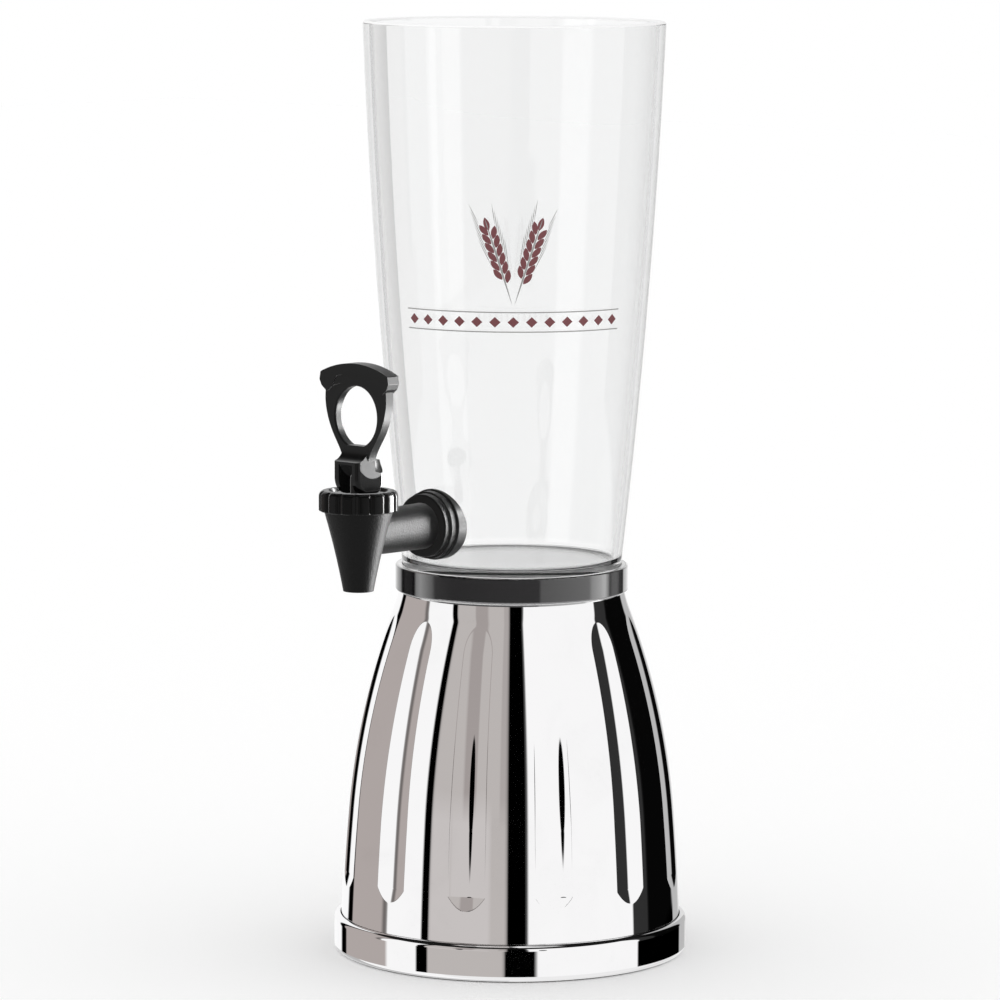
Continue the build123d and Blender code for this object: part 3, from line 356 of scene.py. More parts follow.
def grid_mesh(name, radius, height):
    """Closed mesh from a grid of radii and heights in mm, rows round the profile, columns round the axis."""
    rows, columns = radius.shape
    turn = np.linspace(0, 2 * pi, columns, endpoint=False)
    x, y = radius * np.cos(turn), radius * np.sin(turn)
    z = np.broadcast_to(height.reshape(rows, -1), (rows, columns))
    co = np.stack([x, y, z], 2).reshape(-1, 3) * MM
    row, column = np.meshgrid(np.arange(rows), np.arange(columns), indexing="ij")
    up, on = (row + 1) % rows, (column + 1) % columns
    corners = [row * columns + column, row * columns + on, up * columns + on, up * columns + column]
    faces = np.stack(corners, 2).reshape(-1, 4)
    mesh = bpy.data.meshes.new(name)
    mesh.vertices.add(len(co))
    mesh.vertices.foreach_set("co", co.ravel())
    mesh.loops.add(faces.size)
    mesh.loops.foreach_set("vertex_index", faces.ravel())
    mesh.polygons.add(len(faces))
    mesh.polygons.foreach_set("loop_start", np.arange(0, faces.size, 4))
    mesh.update(calc_edges=True)
    mesh.shade_smooth()
    return mesh


def bell_outline():
    """Outer side of the plain bell from the foot up, as (radius, height)."""
    side = bowed(BELL_KNEE, BELL_SHOULDER, BELL_BULGE, SIDE_ROWS)
    slope = np.array(side[1] - side[0]) / np.linalg.norm(side[1] - side[0])
    foot, knee = np.array(BELL_FOOT), np.array(BELL_KNEE)
    chord = knee - foot
    lean = atan2(slope[1], slope[0]) - atan2(chord[1], chord[0])
    out = np.array((chord[1], -chord[0])) / np.linalg.norm(chord)
    swell = np.linalg.norm(chord) / 2 * np.tan(lean / 2)
    skirt = arc_points(BELL_FOOT, tuple((foot + knee) / 2 + out * swell), BELL_KNEE, SKIRT_ROWS)
    end = np.array(side[-1] - side[-2]) / np.linalg.norm(side[-1] - side[-2])
    span = BELL_TOP[1] - BELL_SHOULDER[1]
    t = np.linspace(0, 1, NECK_ROWS)[1:, None]
    top = (
        (2 * t**3 - 3 * t**2 + 1) * np.array(BELL_SHOULDER) + (t**3 - 2 * t**2 + t) * end * span
        + (-2 * t**3 + 3 * t**2) * np.array(BELL_TOP)
        + (t**3 - t**2) * np.array((-sin(BELL_TOP_LEAN), cos(BELL_TOP_LEAN))) * span
    )
    return np.concatenate([[(BELL_FOOT[0], BELL_BOTTOM_Z)], skirt, side[1:], top])


def flute_depth(heights):
    """Depth of a flute at each height: nothing past its ends, sloped at its foot, eased at its head."""
    down = np.clip((heights - BELL_KNEE[1]) / (FLUTE_HIGH_Z - BELL_KNEE[1]), 0, 1)
    depth = FLUTE_DEPTH + (FLUTE_SHALLOW - FLUTE_DEPTH) * down
    foot, head = (heights - FLUTE_LOW_Z) / FLUTE_FOOT, (FLUTE_HIGH_Z - heights) / FLUTE_HEAD
    eased = np.clip(head, 0, 1)
    return depth * np.clip(foot, 0, 1) * eased * (2 - eased) + np.clip(np.minimum(foot, head), -1, 0)


def build_bell():
    outline = bell_outline()
    foot = np.linspace(FLUTE_LOW_Z, FLUTE_LOW_Z + FLUTE_FOOT, FLUTE_FOOT_ROWS)
    head = np.linspace(FLUTE_HIGH_Z - FLUTE_HEAD, FLUTE_HIGH_Z, FLUTE_HEAD_ROWS)
    heights = np.unique(np.round(np.concatenate([outline[:, 1], foot, head]), 4))
    outline = np.stack([np.interp(heights, outline[:, 1], outline[:, 0]), heights], 1)
    plain = outline[:, :1]
    floor = plain - flute_depth(outline[:, 1:])
    turn = np.linspace(0, 2 * pi, BELL_COLUMNS, endpoint=False)
    pitch = 2 * pi / FLUTES
    off = (turn - FLUTE_PHASE + pitch / 2) % pitch - pitch / 2
    across = plain * np.sin(off)[None, :]
    hollow = floor + FLUTE_RADIUS - np.sqrt(FLUTE_RADIUS**2 - across**2)
    cut = plain - np.hypot(hollow, across)
    cut = (cut + np.sqrt(cut**2 + FLUTE_CREASE**2)) / 2
    outer = plain - cut
    inside = np.array([
        (BELL_TOP[0] - BELL_WALL, BELL_TOP[1] - BELL_RIM_DROP), (BELL_FOOT[0] - BELL_WALL, BELL_BOTTOM_Z)
    ])
    lip = np.repeat(inside[:, :1], BELL_COLUMNS, 1)
    radius = np.concatenate([outer, lip])
    height = np.concatenate([outline[:, 1], inside[:, 1]])
    bell = plain_object("chrome_bell", grid_mesh("chrome_bell", radius, height))
    dress(bell, CHROME)
    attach(bell, "base")
    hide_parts("base_bell")


build_bell()

# ---------------------------------------------------------------- foot ring
# Chrome plated ring round the bell's foot, rounded top and bottom. The bell stands on its inner ledge,
# and the screws of the bottom plate hold the two together.
RING_OUTSIDE, RING_INSIDE = 85.0, 82.1
RING_LOW_Z, RING_TOP_Z = 0.6, 18.0
RING_EDGE, FINE_EDGE = 2.6, 0.1
LEDGE_INSIDE, LEDGE_LOW_Z = 67.0, 6.6
RING_COLUMNS = 720
SUPPORT = 0.03                   # extra row this far past each rounding, so that flats shade flat
WELD = 1e-7


def rounded(points, radii, count=10):
    """Closed outline with its corners rounded to `radii`."""
    made = []
    total = len(points)
    for i, (point, radius) in enumerate(zip(points, radii)):
        point = np.array(point, float)
        before = np.array(points[i - 1], float) - point
        after = np.array(points[(i + 1) % total], float) - point
        if radius <= 0:
            made.append(point)
            continue
        u, v = before / np.linalg.norm(before), after / np.linalg.norm(after)
        half = np.arccos(np.clip(u @ v, -1, 1)) / 2
        reach = radius / np.tan(half)
        centre = point + (u + v) / np.linalg.norm(u + v) * radius / np.sin(half)
        a, b = point + u * reach - centre, point + v * reach - centre
        swing = pi - 2 * half
        cross = a[0] * b[1] - a[1] * b[0]
        made.append(point + u * (reach + SUPPORT))
        for step in np.linspace(0, swing * np.sign(cross), count + 1):
            turned = (a[0] * cos(step) - a[1] * sin(step), a[0] * sin(step) + a[1] * cos(step))
            made.append(centre + np.array(turned))
        made.append(point + v * (reach + SUPPORT))
    return np.array(made)


def lathe(name, outline, columns):
    """Closed outline of (radius, height) in mm turned round the Z axis, welded where it meets the axis."""
    outline = np.asarray(outline, float)
    radius = np.repeat(outline[:, :1], columns, 1)
    mesh = grid_mesh(name, radius, outline[:, 1])
    if outline[:, 0].min() <= 0:
        shell = bmesh.new()
        shell.from_mesh(mesh)
        bmesh.ops.remove_doubles(shell, verts=shell.verts, dist=WELD)
        shell.to_mesh(mesh)
        shell.free()
        mesh.shade_smooth()
    return mesh


def build_foot_ring():
    outline = rounded(
        [
            (RING_INSIDE, RING_LOW_Z), (RING_OUTSIDE, RING_LOW_Z), (RING_OUTSIDE, RING_TOP_Z),
            (RING_INSIDE, RING_TOP_Z), (RING_INSIDE, BELL_BOTTOM_Z), (LEDGE_INSIDE, BELL_BOTTOM_Z),
            (LEDGE_INSIDE, LEDGE_LOW_Z), (RING_INSIDE, LEDGE_LOW_Z),
        ],
        [FINE_EDGE, RING_EDGE, RING_EDGE, *[FINE_EDGE] * 5], 16,
    )
    ring = plain_object("chrome_foot", lathe("chrome_foot", outline, RING_COLUMNS))
    dress(ring, CHROME)
    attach(ring, "base")
    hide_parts("foot_ring")


build_foot_ring()

# ---------------------------------------------------------------- underside
# Plain moulded disc that closes the bell, the rubber pad that the tower stands on, and the four
# self-tapping screws, bright zinc-plated steel, that go up into the bell's bosses.


def grain_group():
    """Fine moulded grain: a bump and a mask, at a grain size in metres."""
    tree, given, made = new_group(
        "moulded_grain", [("Size", 0.0004), ("Depth", 0.00001)],
        [("Mask", "NodeSocketFloat"), ("Normal", "NodeSocketVector")],
    )
    place = put(tree, "ShaderNodeTexCoord").outputs["Object"]
    scale = maths(tree, "DIVIDE", 1.0, given["Size"])
    noise = put(
        tree, "ShaderNodeTexNoise", {"Vector": place, "Scale": scale, "Detail": 3.0, "Roughness": 0.6}
    ).outputs["Fac"]
    bump = put(tree, "ShaderNodeBump", {"Height": noise, "Strength": 1.0, "Distance": given["Depth"]})
    tree.links.new(noise, made["Mask"])
    tree.links.new(bump.outputs["Normal"], made["Normal"])
    return tree


GRAIN = grain_group()


def plastic(name, low, high, rough, grain, depth, ior=1.5):
    """Moulded plastic: colour between low and high, roughness range, grain size and depth in metres."""
    material, tree, skin = new_material(name)
    grained = put(tree, "ShaderNodeGroup", {"Size": grain, "Depth": depth}, node_tree=GRAIN).outputs
    tree.links.new(blend(tree, grained["Mask"], low, high), skin["Base Color"])
    tree.links.new(spread(tree, handled(tree, 0.05), *rough), skin["Roughness"])
    tree.links.new(grained["Normal"], skin["Normal"])
    skin["IOR"].default_value = ior
    return material


def grey(low, high):
    """Neutral low and high colours of a plastic."""
    return (low,) * 3, (high,) * 3


def steel_material():
    """Bright zinc-plated steel of screws, pin and spring, lightly drawn."""
    material, tree, skin = new_material("zinc_steel")
    grained = put(tree, "ShaderNodeGroup", {"Size": 0.0005, "Depth": 0.000004}, node_tree=GRAIN).outputs
    tree.links.new(blend(tree, grained["Mask"], (0.5, 0.5, 0.49), (0.68, 0.68, 0.67)), skin["Base Color"])
    tree.links.new(spread(tree, grained["Mask"], 0.25, 0.4), skin["Roughness"])
    tree.links.new(grained["Normal"], skin["Normal"])
    skin["Metallic"].default_value = 1.0
    return material


RUBBER = plastic("rubber", *grey(0.012, 0.024), (0.6, 0.8), 0.0003, 0.00001)
STEEL = steel_material()
dress(node["bottom_plate"], plastic("underside_black", *grey(0.018, 0.03), (0.5, 0.6), 0.0006, 0.00002))
dress(node["base_pad"], RUBBER)
dress(node["plate_screws"], STEEL)

# ---------------------------------------------------------------- collar and seat
# Polished black collar on top of the bell, pale on its inside, that pale painted near white to lift
# the shade in the gap round the vessel: painted light. It holds a pale moulded seat disc, drawn down by
# four screws through the bell's top, and a soft ring that the vessel stands on.
COLLAR_INSIDE = 54.5             # the collar is pale inside this radius, painted near white there as painted light
COLLAR_BLACK, COLLAR_PALE_LIT = (0.006, 0.005, 0.006), (0.97, 0.97, 0.97)


def collar_material():
    """Lacquered black plastic, mirror smooth outside and pale where it holds the vessel, that pale painted
    near white to lift the shade there: painted light.
    """
    material, tree, skin = new_material("collar_gloss")
    place = put(tree, "ShaderNodeTexCoord").outputs["Object"]
    apart = put(tree, "ShaderNodeSeparateXYZ", {0: place}).outputs
    flat = put(tree, "ShaderNodeCombineXYZ", {"X": apart["X"], "Y": apart["Y"]})
    out = put(tree, "ShaderNodeVectorMath", {0: flat.outputs[0]}, operation="LENGTH").outputs["Value"]
    inner = spread(tree, out, 0.0, 1.0, (COLLAR_INSIDE + 0.1) * MM, COLLAR_INSIDE * MM)
    # pale inside, painted near white so that the shaded gap reads light: painted light
    tree.links.new(blend(tree, inner, COLLAR_BLACK, COLLAR_PALE_LIT), skin["Base Color"])
    polish = spread(tree, handled(tree, 0.03), 0.04, 0.09)
    dull = put(tree, "ShaderNodeMix", {"Factor": inner, "A": polish, "B": 0.6})
    tree.links.new(dull.outputs["Result"], skin["Roughness"])
    skin["IOR"].default_value = 2.4
    skin["Coat Weight"].default_value = 1.0
    skin["Coat IOR"].default_value = 1.9
    skin["Coat Roughness"].default_value = 0.04
    return material


dress(node["collar_ring"], collar_material())
SEAT_PALE = ((0.95, 0.95, 0.96), (0.99, 0.99, 1.0))
dress(node["seat_plate"], plastic("seat_pale", *SEAT_PALE, (0.35, 0.45), 0.0008, 0.000004))
# The soft ring is painted near white to lift the shade in the gap under the vessel: painted light.
dress(node["seat_gasket"], plastic("seat_gasket", *grey(0.93, 0.98), (0.5, 0.6), 0.0004, 0.000006))
dress(node["seat_screws"], STEEL)

# A low strip of card, black, grey and white by turns, stands close round the collar and is seen in it
# alone. Degrees round from the camera and brightness.
STRIP = [
    (-90, 0.9), (-76, 0.5), (-72, 0.0), (-68, 0.04), (-61, 0.04), (-58, 0.0), (-56, 0.6), (-52.5, 0.85),
    (-44, 0.38), (-41.5, 0.12), (-30, 0.08), (13.6, 0.11), (14.8, 0.33), (42, 0.5), (44, 0.85), (54, 1.4),
    (57, 0.6), (58.5, 0.15), (61, 0.3), (66, 0.28), (70, 0.08), (75, 0.05), (77, 0.9), (90, 1.0),
]
STRIP_RADIUS, STRIP_THICK, STRIP_LOW_Z, STRIP_HIGH_Z = 57.2, 0.2, 175.2, 188.2


def lit_card(card, right, ahead, start, span, stops):
    """Gives a card its own brightness by degrees round from `ahead`, over `span` degrees from `start`."""
    material = bpy.data.materials.new(card.name)
    material.use_nodes = True
    tree = material.node_tree
    tree.nodes.clear()
    angle = angle_round(tree, put(tree, "ShaderNodeTexCoord").outputs["Object"], right, ahead)
    turn = maths(tree, "MULTIPLY_ADD", angle, 1 / radians(span), -start / span)
    level = ramp(tree, turn, [((degree - start) / span, level) for degree, level in stops])
    shown = put(tree, "ShaderNodeEmission", {"Color": level})
    put(tree, "ShaderNodeOutputMaterial", {"Surface": shown.outputs[0]})
    card.data.materials.append(material)
    card.visible_camera = card.visible_diffuse = False
    card.visible_shadow = card.visible_volume_scatter = False


def build_collar_strip():
    outline = [
        (STRIP_RADIUS + STRIP_THICK, STRIP_LOW_Z), (STRIP_RADIUS + STRIP_THICK, STRIP_HIGH_Z),
        (STRIP_RADIUS, STRIP_HIGH_Z), (STRIP_RADIUS, STRIP_LOW_Z),
    ]
    strip = plain_object("collar_strip", lathe("collar_strip", outline, 360))
    strip.visible_transmission = False
    lit_card(strip, to_right, to_camera, -90, 180, STRIP)


build_collar_strip()

# ---------------------------------------------------------------- clear vessel
# One-piece moulded clear vessel, flared, its wall thick enough to show as a pale band at both sides. Its
# rim is trimmed after moulding, and a hole is drilled in its wall for the tap's shank.
VESSEL_LOW_Z, VESSEL_TOP_Z = 184.0, 447.4
VESSEL_BOTTOM, VESSEL_TOP = 52.05, 72.1      # outside radii
VESSEL_BULGE = 2.45
VESSEL_WALL = 4.0
VESSEL_FLOOR_Z = 190.0
VESSEL_EDGE, VESSEL_CORNER, VESSEL_RIM = 1.5, 3.0, 1.3
VESSEL_ROWS, VESSEL_COLUMNS = 72, 768
RIM_FROST = 0.9                  # height of the milky rim
SHANK_HOLE = 6.3
ARM_Z = 212.0
TINT, TINT_SMEARED = (0.945, 0.947, 0.947), (0.935, 0.938, 0.938)
TINT_FROM, TINT_TO = 2.5, 4.5    # the plastic's colour is painted untinted below, lifting the shade low in the vessel as painted light, and tinted above; these heights over the floor


def clear_material():
    material, tree, skin = new_material("clear_plastic")
    marks = handled(tree, 0.06)
    tint = blend(tree, marks, TINT, TINT_SMEARED)
    place = put(tree, "ShaderNodeTexCoord").outputs["Object"]
    height = put(tree, "ShaderNodeSeparateXYZ", {0: place}).outputs["Z"]
    ends = [(VESSEL_FLOOR_Z + over) * MM for over in (TINT_TO, TINT_FROM)]
    # Untinted low down: painted light that lifts the shade where light crosses many surfaces.
    clear = blend(tree, spread(tree, height, 0.0, 1.0, *ends), tint, (1, 1, 1))
    tree.links.new(clear, skin["Base Color"])
    tree.links.new(spread(tree, marks, 0.0, 0.01), skin["Roughness"])
    skin["Transmission Weight"].default_value = 1.0
    skin["IOR"].default_value = 1.49
    return material


def add_frost(vessel):
    """Gives the vessel's rim, trimmed after moulding, a milky skin."""
    vessel.data.materials.append(plastic("clear_frosted", *grey(0.97, 1.0), (0.4, 0.5), 0.0005, 0.000004))
    for face in vessel.data.polygons:
        if face.center.z > (VESSEL_TOP_Z - RIM_FROST) * MM:
            face.material_index = 1


def build_vessel():
    outside = bowed((VESSEL_BOTTOM, VESSEL_LOW_Z), (VESSEL_TOP, VESSEL_TOP_Z), VESSEL_BULGE, VESSEL_ROWS)
    bottom = float(np.interp(VESSEL_FLOOR_Z, outside[:, 1], outside[:, 0])) - VESSEL_WALL
    top = (VESSEL_TOP - VESSEL_WALL, VESSEL_TOP_Z)
    inside = bowed((bottom, VESSEL_FLOOR_Z), top, VESSEL_BULGE, VESSEL_ROWS)
    points = [(0, VESSEL_LOW_Z), *outside, *inside[::-1], (0, VESSEL_FLOOR_Z)]
    plain = [0] * (VESSEL_ROWS - 1)
    radii = [0, VESSEL_EDGE, *plain, VESSEL_RIM, VESSEL_RIM, *plain, VESSEL_CORNER, 0]
    mesh = lathe("clear_vessel", rounded(points, radii, 12), VESSEL_COLUMNS)
    vessel = plain_object("clear_vessel", mesh)
    drill = bmesh.new()
    bmesh.ops.create_cone(
        drill, cap_ends=True, segments=96, radius1=SHANK_HOLE * MM, radius2=SHANK_HOLE * MM,
        depth=VESSEL_TOP * MM,
        matrix=Matrix.Translation((0, -VESSEL_TOP * MM, ARM_Z * MM)) @ Matrix.Rotation(pi / 2, 4, "X"),
    )
    drill_mesh = bpy.data.meshes.new("drill")
    drill.to_mesh(drill_mesh)
    drill.free()
    cutter = plain_object("drill", drill_mesh)
    hole = vessel.modifiers.new("hole", "BOOLEAN")
    hole.object, hole.operation, hole.solver = cutter, "DIFFERENCE", "EXACT"
    bored = bpy.data.meshes.new_from_object(vessel.evaluated_get(bpy.context.evaluated_depsgraph_get()))
    vessel.modifiers.clear()
    vessel.data = bored
    bpy.data.objects.remove(cutter)
    bored.shade_smooth()
    bored.set_sharp_from_angle(angle=radians(40))
    dress(vessel, clear_material())
    add_frost(vessel)
    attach(vessel, "vessel_and_tap")
    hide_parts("vessel")


build_vessel()

# ---------------------------------------------------------------- lights for the vessel
# A grey card stands well behind the tower, to its left, and is seen only through the vessel's wall, where
# it edges that side. A lamp beside the camera, for the vessel alone, lays one upright gleam on it.
CARD_RADIUS, CARD_LOW, CARD_HEIGHT, CARD_COLUMNS = 1.2, 0.001, 0.75, 40
CARD = [(11.0, 0.62), (15.0, 0.70), (22.0, 0.78), (38.0, 0.90)]      # degrees from behind, brightness
GLEAM_TURN, GLEAM_DISTANCE, GLEAM_SIZE, GLEAM_Z = radians(-55.5), 1.5, (0.75, 1.1), -0.02
GLEAM_POWER = 2.5


def build_card():
    turns = np.radians(np.linspace(CARD[0][0], CARD[-1][0], CARD_COLUMNS))
    back, left = -to_camera, -to_right
    corners = [(back * cos(turn) + left * sin(turn)) * CARD_RADIUS for turn in turns]
    verts = [tuple(corner + Vector((0, 0, z))) for z in (CARD_LOW, CARD_HEIGHT) for corner in corners]
    count = len(corners)
    mesh = bpy.data.meshes.new("edge_card")
    mesh.from_pydata(verts, [], [(i, i + 1, count + i + 1, count + i) for i in range(count - 1)])
    card = plain_object("edge_card", mesh)
    card.visible_glossy = False
    lit_card(card, left, back, 0, 90, CARD)


def linked_lamp(name, receivers, place, aim, size, power):
    """Area lamp that lights and is shaded by these objects alone."""
    lit = bpy.data.collections.new(name)
    for receiver in receivers:
        lit.objects.link(receiver)
    lamp = bpy.data.objects.new(name, bpy.data.lights.new(name, "AREA"))
    lamp.data.shape = "RECTANGLE"
    lamp.data.size, lamp.data.size_y = size
    lamp.data.energy = power
    lamp.location = place
    lamp.rotation_euler = (aim - place).to_track_quat("-Z", "Y").to_euler()
    lamp.light_linking.receiver_collection = lit
    lamp.light_linking.blocker_collection = lit
    bpy.context.scene.collection.objects.link(lamp)


def build_gleam():
    way = to_camera * cos(GLEAM_TURN) + to_right * sin(GLEAM_TURN)
    place = way * GLEAM_DISTANCE + Vector((0, 0, GLEAM_Z))
    linked_lamp(
        "gleam", [bpy.data.objects["clear_vessel"]], place, Vector((0, 0, GLEAM_Z)), GLEAM_SIZE, GLEAM_POWER
    )


build_card()
build_gleam()

# ---------------------------------------------------------------- ornament
# Screen-printed on the vessel's front in maroon and grey ink: two ears of barley over a band of small
# lozenges between two rules.
PRINT_TURN = -pi / 2 + VIEW_TURN
INK_LIFT, INK_THICK = 0.02, 0.05
EARS_Z, EAR_LEAN, EAR_SPREAD = 321.0, radians(17), 1.6
STALK_BELOW, STALK_LONG, STALK_WIDE = 4.0, 44.0, 0.9
EAR_GRAINS, GRAIN_FIRST, GRAIN_STEP, GRAIN_LONG, GRAIN_WIDE = 6, 7.0, 4.3, 6.4, 2.7
GRAIN_TURN, GRAIN_ASIDE = radians(24), 0.75
AWN_LONG, AWN_WIDE, AWN_SHORTER, AWN_TURN, AWN_GAP = 15.0, 0.32, 0.9, radians(9), 0.3
BAND_Z, BAND_HALF_HEIGHT, BAND_HALF, BAND_RULE = 309.5, 4.6, 56.0, 0.55
LOZENGES, LOZENGE_HALF, LOZENGE_RISE = 13, 2.7, 2.5
MAROON_INK = ((0.155, 0.04, 0.046), (0.19, 0.055, 0.06))
GREY_INK = ((0.28, 0.28, 0.27), (0.34, 0.335, 0.33))


def leaf(centre, lean, long, wide, count=14):
    """Outline of a pointed grain: `long` by `wide`, its foot at `centre`, leaning by `lean` from upright."""
    made = []
    for side in (1, -1):
        for t in np.linspace(0, 1, count)[:-1]:
            t = t if side > 0 else 1 - t
            u, v = side * wide / 2 * sin(pi * t) ** 0.8, long * t
            x, y = centre[0] + u * cos(lean) + v * sin(lean), centre[1] - u * sin(lean) + v * cos(lean)
            made.append((x, y))
    return made


def ear(side):
    """Maroon and grey outlines of one ear, leaning to `side`."""
    lean = side * EAR_LEAN
    foot = (side * EAR_SPREAD, EARS_Z)

    def along(far):
        return foot[0] + far * sin(lean), foot[1] + far * cos(lean)

    grains, awns = [], [leaf(along(-STALK_BELOW), lean, STALK_LONG, STALK_WIDE)]
    for i in range(EAR_GRAINS):
        for hand in (1, -1):
            at = along(GRAIN_FIRST + i * GRAIN_STEP + (0.5 * GRAIN_STEP if hand < 0 else 0))
            turn = lean + hand * GRAIN_TURN
            aside = hand * GRAIN_ASIDE
            root = (at[0] + aside * cos(lean), at[1] - aside * sin(lean))
            grains.append(leaf(root, turn, GRAIN_LONG, GRAIN_WIDE))
            reach = GRAIN_LONG + AWN_GAP
            tip = (at[0] + aside + reach * sin(turn), at[1] + reach * cos(turn))
            awns.append(leaf(tip, lean + hand * AWN_TURN, AWN_LONG - i * AWN_SHORTER, AWN_WIDE))
    grains.append(leaf(along(GRAIN_FIRST + EAR_GRAINS * GRAIN_STEP), lean, GRAIN_LONG, GRAIN_WIDE))
    return grains, awns


def strip_outline(low, high, half, count=60):
    """Outline of a level strip between two heights, split finely so that it follows the wall."""
    across = np.linspace(-half, half, count)
    return [(u, low) for u in across] + [(u, high) for u in across[::-1]]


def print_object(name, outlines, colours):
    """Thin raised ink on the wall, from outlines of (mm round from the print's middle, height)."""
    side = bowed((VESSEL_BOTTOM, VESSEL_LOW_Z), (VESSEL_TOP, VESSEL_TOP_Z), VESSEL_BULGE, 200)
    middle = float(np.interp(BAND_Z, side[:, 1], side[:, 0]))
    ink = bmesh.new()
    for outline in outlines:
        layers = []
        for lift in (INK_LIFT, INK_LIFT + INK_THICK):
            layer = []
            for u, z in outline:
                radius = float(np.interp(z, side[:, 1], side[:, 0])) + lift
                turn = PRINT_TURN + u / middle
                layer.append(ink.verts.new((radius * cos(turn) * MM, radius * sin(turn) * MM, z * MM)))
            layers.append(layer)
        count = len(outline)
        half = count // 2
        for layer, flip in zip(layers, (True, False)):
            for i in range(half - 1):
                quad = [layer[i], layer[i + 1], layer[count - 2 - i], layer[count - 1 - i]]
                quad = [vert for k, vert in enumerate(quad) if vert not in quad[:k]]
                if len(quad) > 2:
                    ink.faces.new(quad[::-1] if flip else quad)
        for i in range(count):
            j = (i + 1) % count
            ink.faces.new((layers[0][i], layers[0][j], layers[1][j], layers[1][i]))
    mesh = bpy.data.meshes.new(name)
    bmesh.ops.recalc_face_normals(ink, faces=ink.faces)
    ink.to_mesh(mesh)
    ink.free()
    printed = plain_object(name, mesh)
    dress(printed, plastic(name, *colours, (0.35, 0.5), 0.0006, 0.000004))
    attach(printed, "vessel_and_tap")


def build_print():
    maroon, pale = [], []
    for side in (1, -1):
        grains, awns = ear(side)
        maroon += grains
        pale += awns
    for i in range(LOZENGES):
        u = (i - (LOZENGES - 1) / 2) * (2 * BAND_HALF / LOZENGES)
        maroon.append([
            (u, BAND_Z - LOZENGE_RISE), (u + LOZENGE_HALF, BAND_Z), (u, BAND_Z + LOZENGE_RISE),
            (u - LOZENGE_HALF, BAND_Z),
        ])
    for way in (1, -1):
        level = BAND_Z + way * BAND_HALF_HEIGHT
        pale.append(strip_outline(level - BAND_RULE / 2, level + BAND_RULE / 2, BAND_HALF))
    print_object("print_maroon", maroon, MAROON_INK)
    print_object("print_grey", pale, GREY_INK)


build_print()

# ---------------------------------------------------------------- tap body
# Spout, arm and flange moulded in one, black with a coarse grain. Its hollow shank goes through the
# vessel's wall between a rubber saddle washer and an inner washer, and a nut inside draws it tight.
NUT_BLACK = plastic("nut_black", *grey(0.003, 0.005), (0.22, 0.3), 0.0006, 0.00001, ior=1.2)
dress(node["tap_body"], plastic("tap_black", *grey(0.003, 0.006), (0.34, 0.42), 0.0009, 0.0002, ior=1.22))
WASHER_BLACK = plastic("washer_black", *grey(0.003, 0.006), (0.3, 0.4), 0.0003, 0.00001, ior=1.25)
dress(node["outer_washer"], WASHER_BLACK)
dress(node["inner_washer"], RUBBER)
dress(node["shank_nut"], NUT_BLACK)

# ---------------------------------------------------------------- bonnet nut
# Moulded black nut with broad ribs and a dished top, screwed down over the spout's neck. It closes the
# valve chamber, and the lever's block rocks in its dish.
TAP_REACH = 110.0
NUT_INSIDE, NUT_OUTSIDE, NUT_LOW_Z, NUT_TOP_Z = 14.35, 18.5, 223.3, 232.9
NUT_EDGE, NUT_FOOT_EDGE, DISH_EDGE = 2.6, 0.7, 0.2
DISH_OUTSIDE, DISH_FLARE, DISH_Z, WEB_Z, STEM_HOLE = 13.2, 0.85, 231.2, 229.6, 4.1
NUT_PLAIN = DISH_OUTSIDE + 1.5   # the grooves fade out inside this radius
NUT_LOBES, NUT_PHASE = 15, -pi / 2 + VIEW_TURN + radians(-3)
NUT_GROOVE, NUT_GROOVE_WIDTH = 1.0, radians(3.2)


def build_nut():
    """Bonnet nut with broad lobes, rounded over at the top, screwed down over the spout's neck."""
    outline = rounded(
        [
            (NUT_INSIDE, NUT_LOW_Z), (NUT_OUTSIDE, NUT_LOW_Z), (NUT_OUTSIDE, NUT_TOP_Z),
            (DISH_OUTSIDE + DISH_FLARE, NUT_TOP_Z), (DISH_OUTSIDE, DISH_Z), (STEM_HOLE, DISH_Z),
            (STEM_HOLE, WEB_Z), (NUT_INSIDE, WEB_Z),
        ],
        [FINE_EDGE, NUT_FOOT_EDGE, NUT_EDGE, DISH_EDGE, DISH_EDGE, DISH_EDGE, FINE_EDGE, FINE_EDGE], 12,
    )
    radius, height = outline[:, :1], outline[:, 1]
    turn = np.linspace(0, 2 * pi, NUT_LOBES * 48, endpoint=False)
    pitch = 2 * pi / NUT_LOBES
    off = (turn - NUT_PHASE + pitch / 2) % pitch - pitch / 2
    groove = NUT_GROOVE * np.exp(-(off / NUT_GROOVE_WIDTH) ** 2)
    swell = np.clip((radius - NUT_PLAIN) / (NUT_OUTSIDE - NUT_PLAIN), 0, 1)
    mesh = grid_mesh("ribbed_nut", radius - groove[None, :] * swell, height)
    nut = plain_object("ribbed_nut", mesh)
    nut.data.transform(Matrix.Translation((0, -TAP_REACH * MM, 0)))
    dress(nut, NUT_BLACK)
    nut.visible_glossy = False
    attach(nut, "vessel_and_tap")
    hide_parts("bonnet_nut")


build_nut()

# ---------------------------------------------------------------- valve
# Under the nut hangs the valve: a moulded stem in a disc seal, a soft cup on its foot that shuts the
# outlet, and a steel coil spring that the stem presses together as it rises.
SPRING_RADIUS, SPRING_WIRE, SPRING_TURNS, SPRING_STEPS, WIRE_SIDES = 4.7, 0.4, 5, 40, 12
SPRING_LOW_Z, SPRING_TOP_Z = 214.15, 227.85
dress(node["stem"], plastic("stem_black", *grey(0.01, 0.014), (0.3, 0.4), 0.0006, 0.000008, ior=1.25))
SOFT = plastic("valve_rubber", (0.32, 0.31, 0.30), (0.40, 0.39, 0.38), (0.5, 0.6), 0.0004, 0.000006)
dress(node["stem_seal"], SOFT)
dress(node["seat_cup"], SOFT)


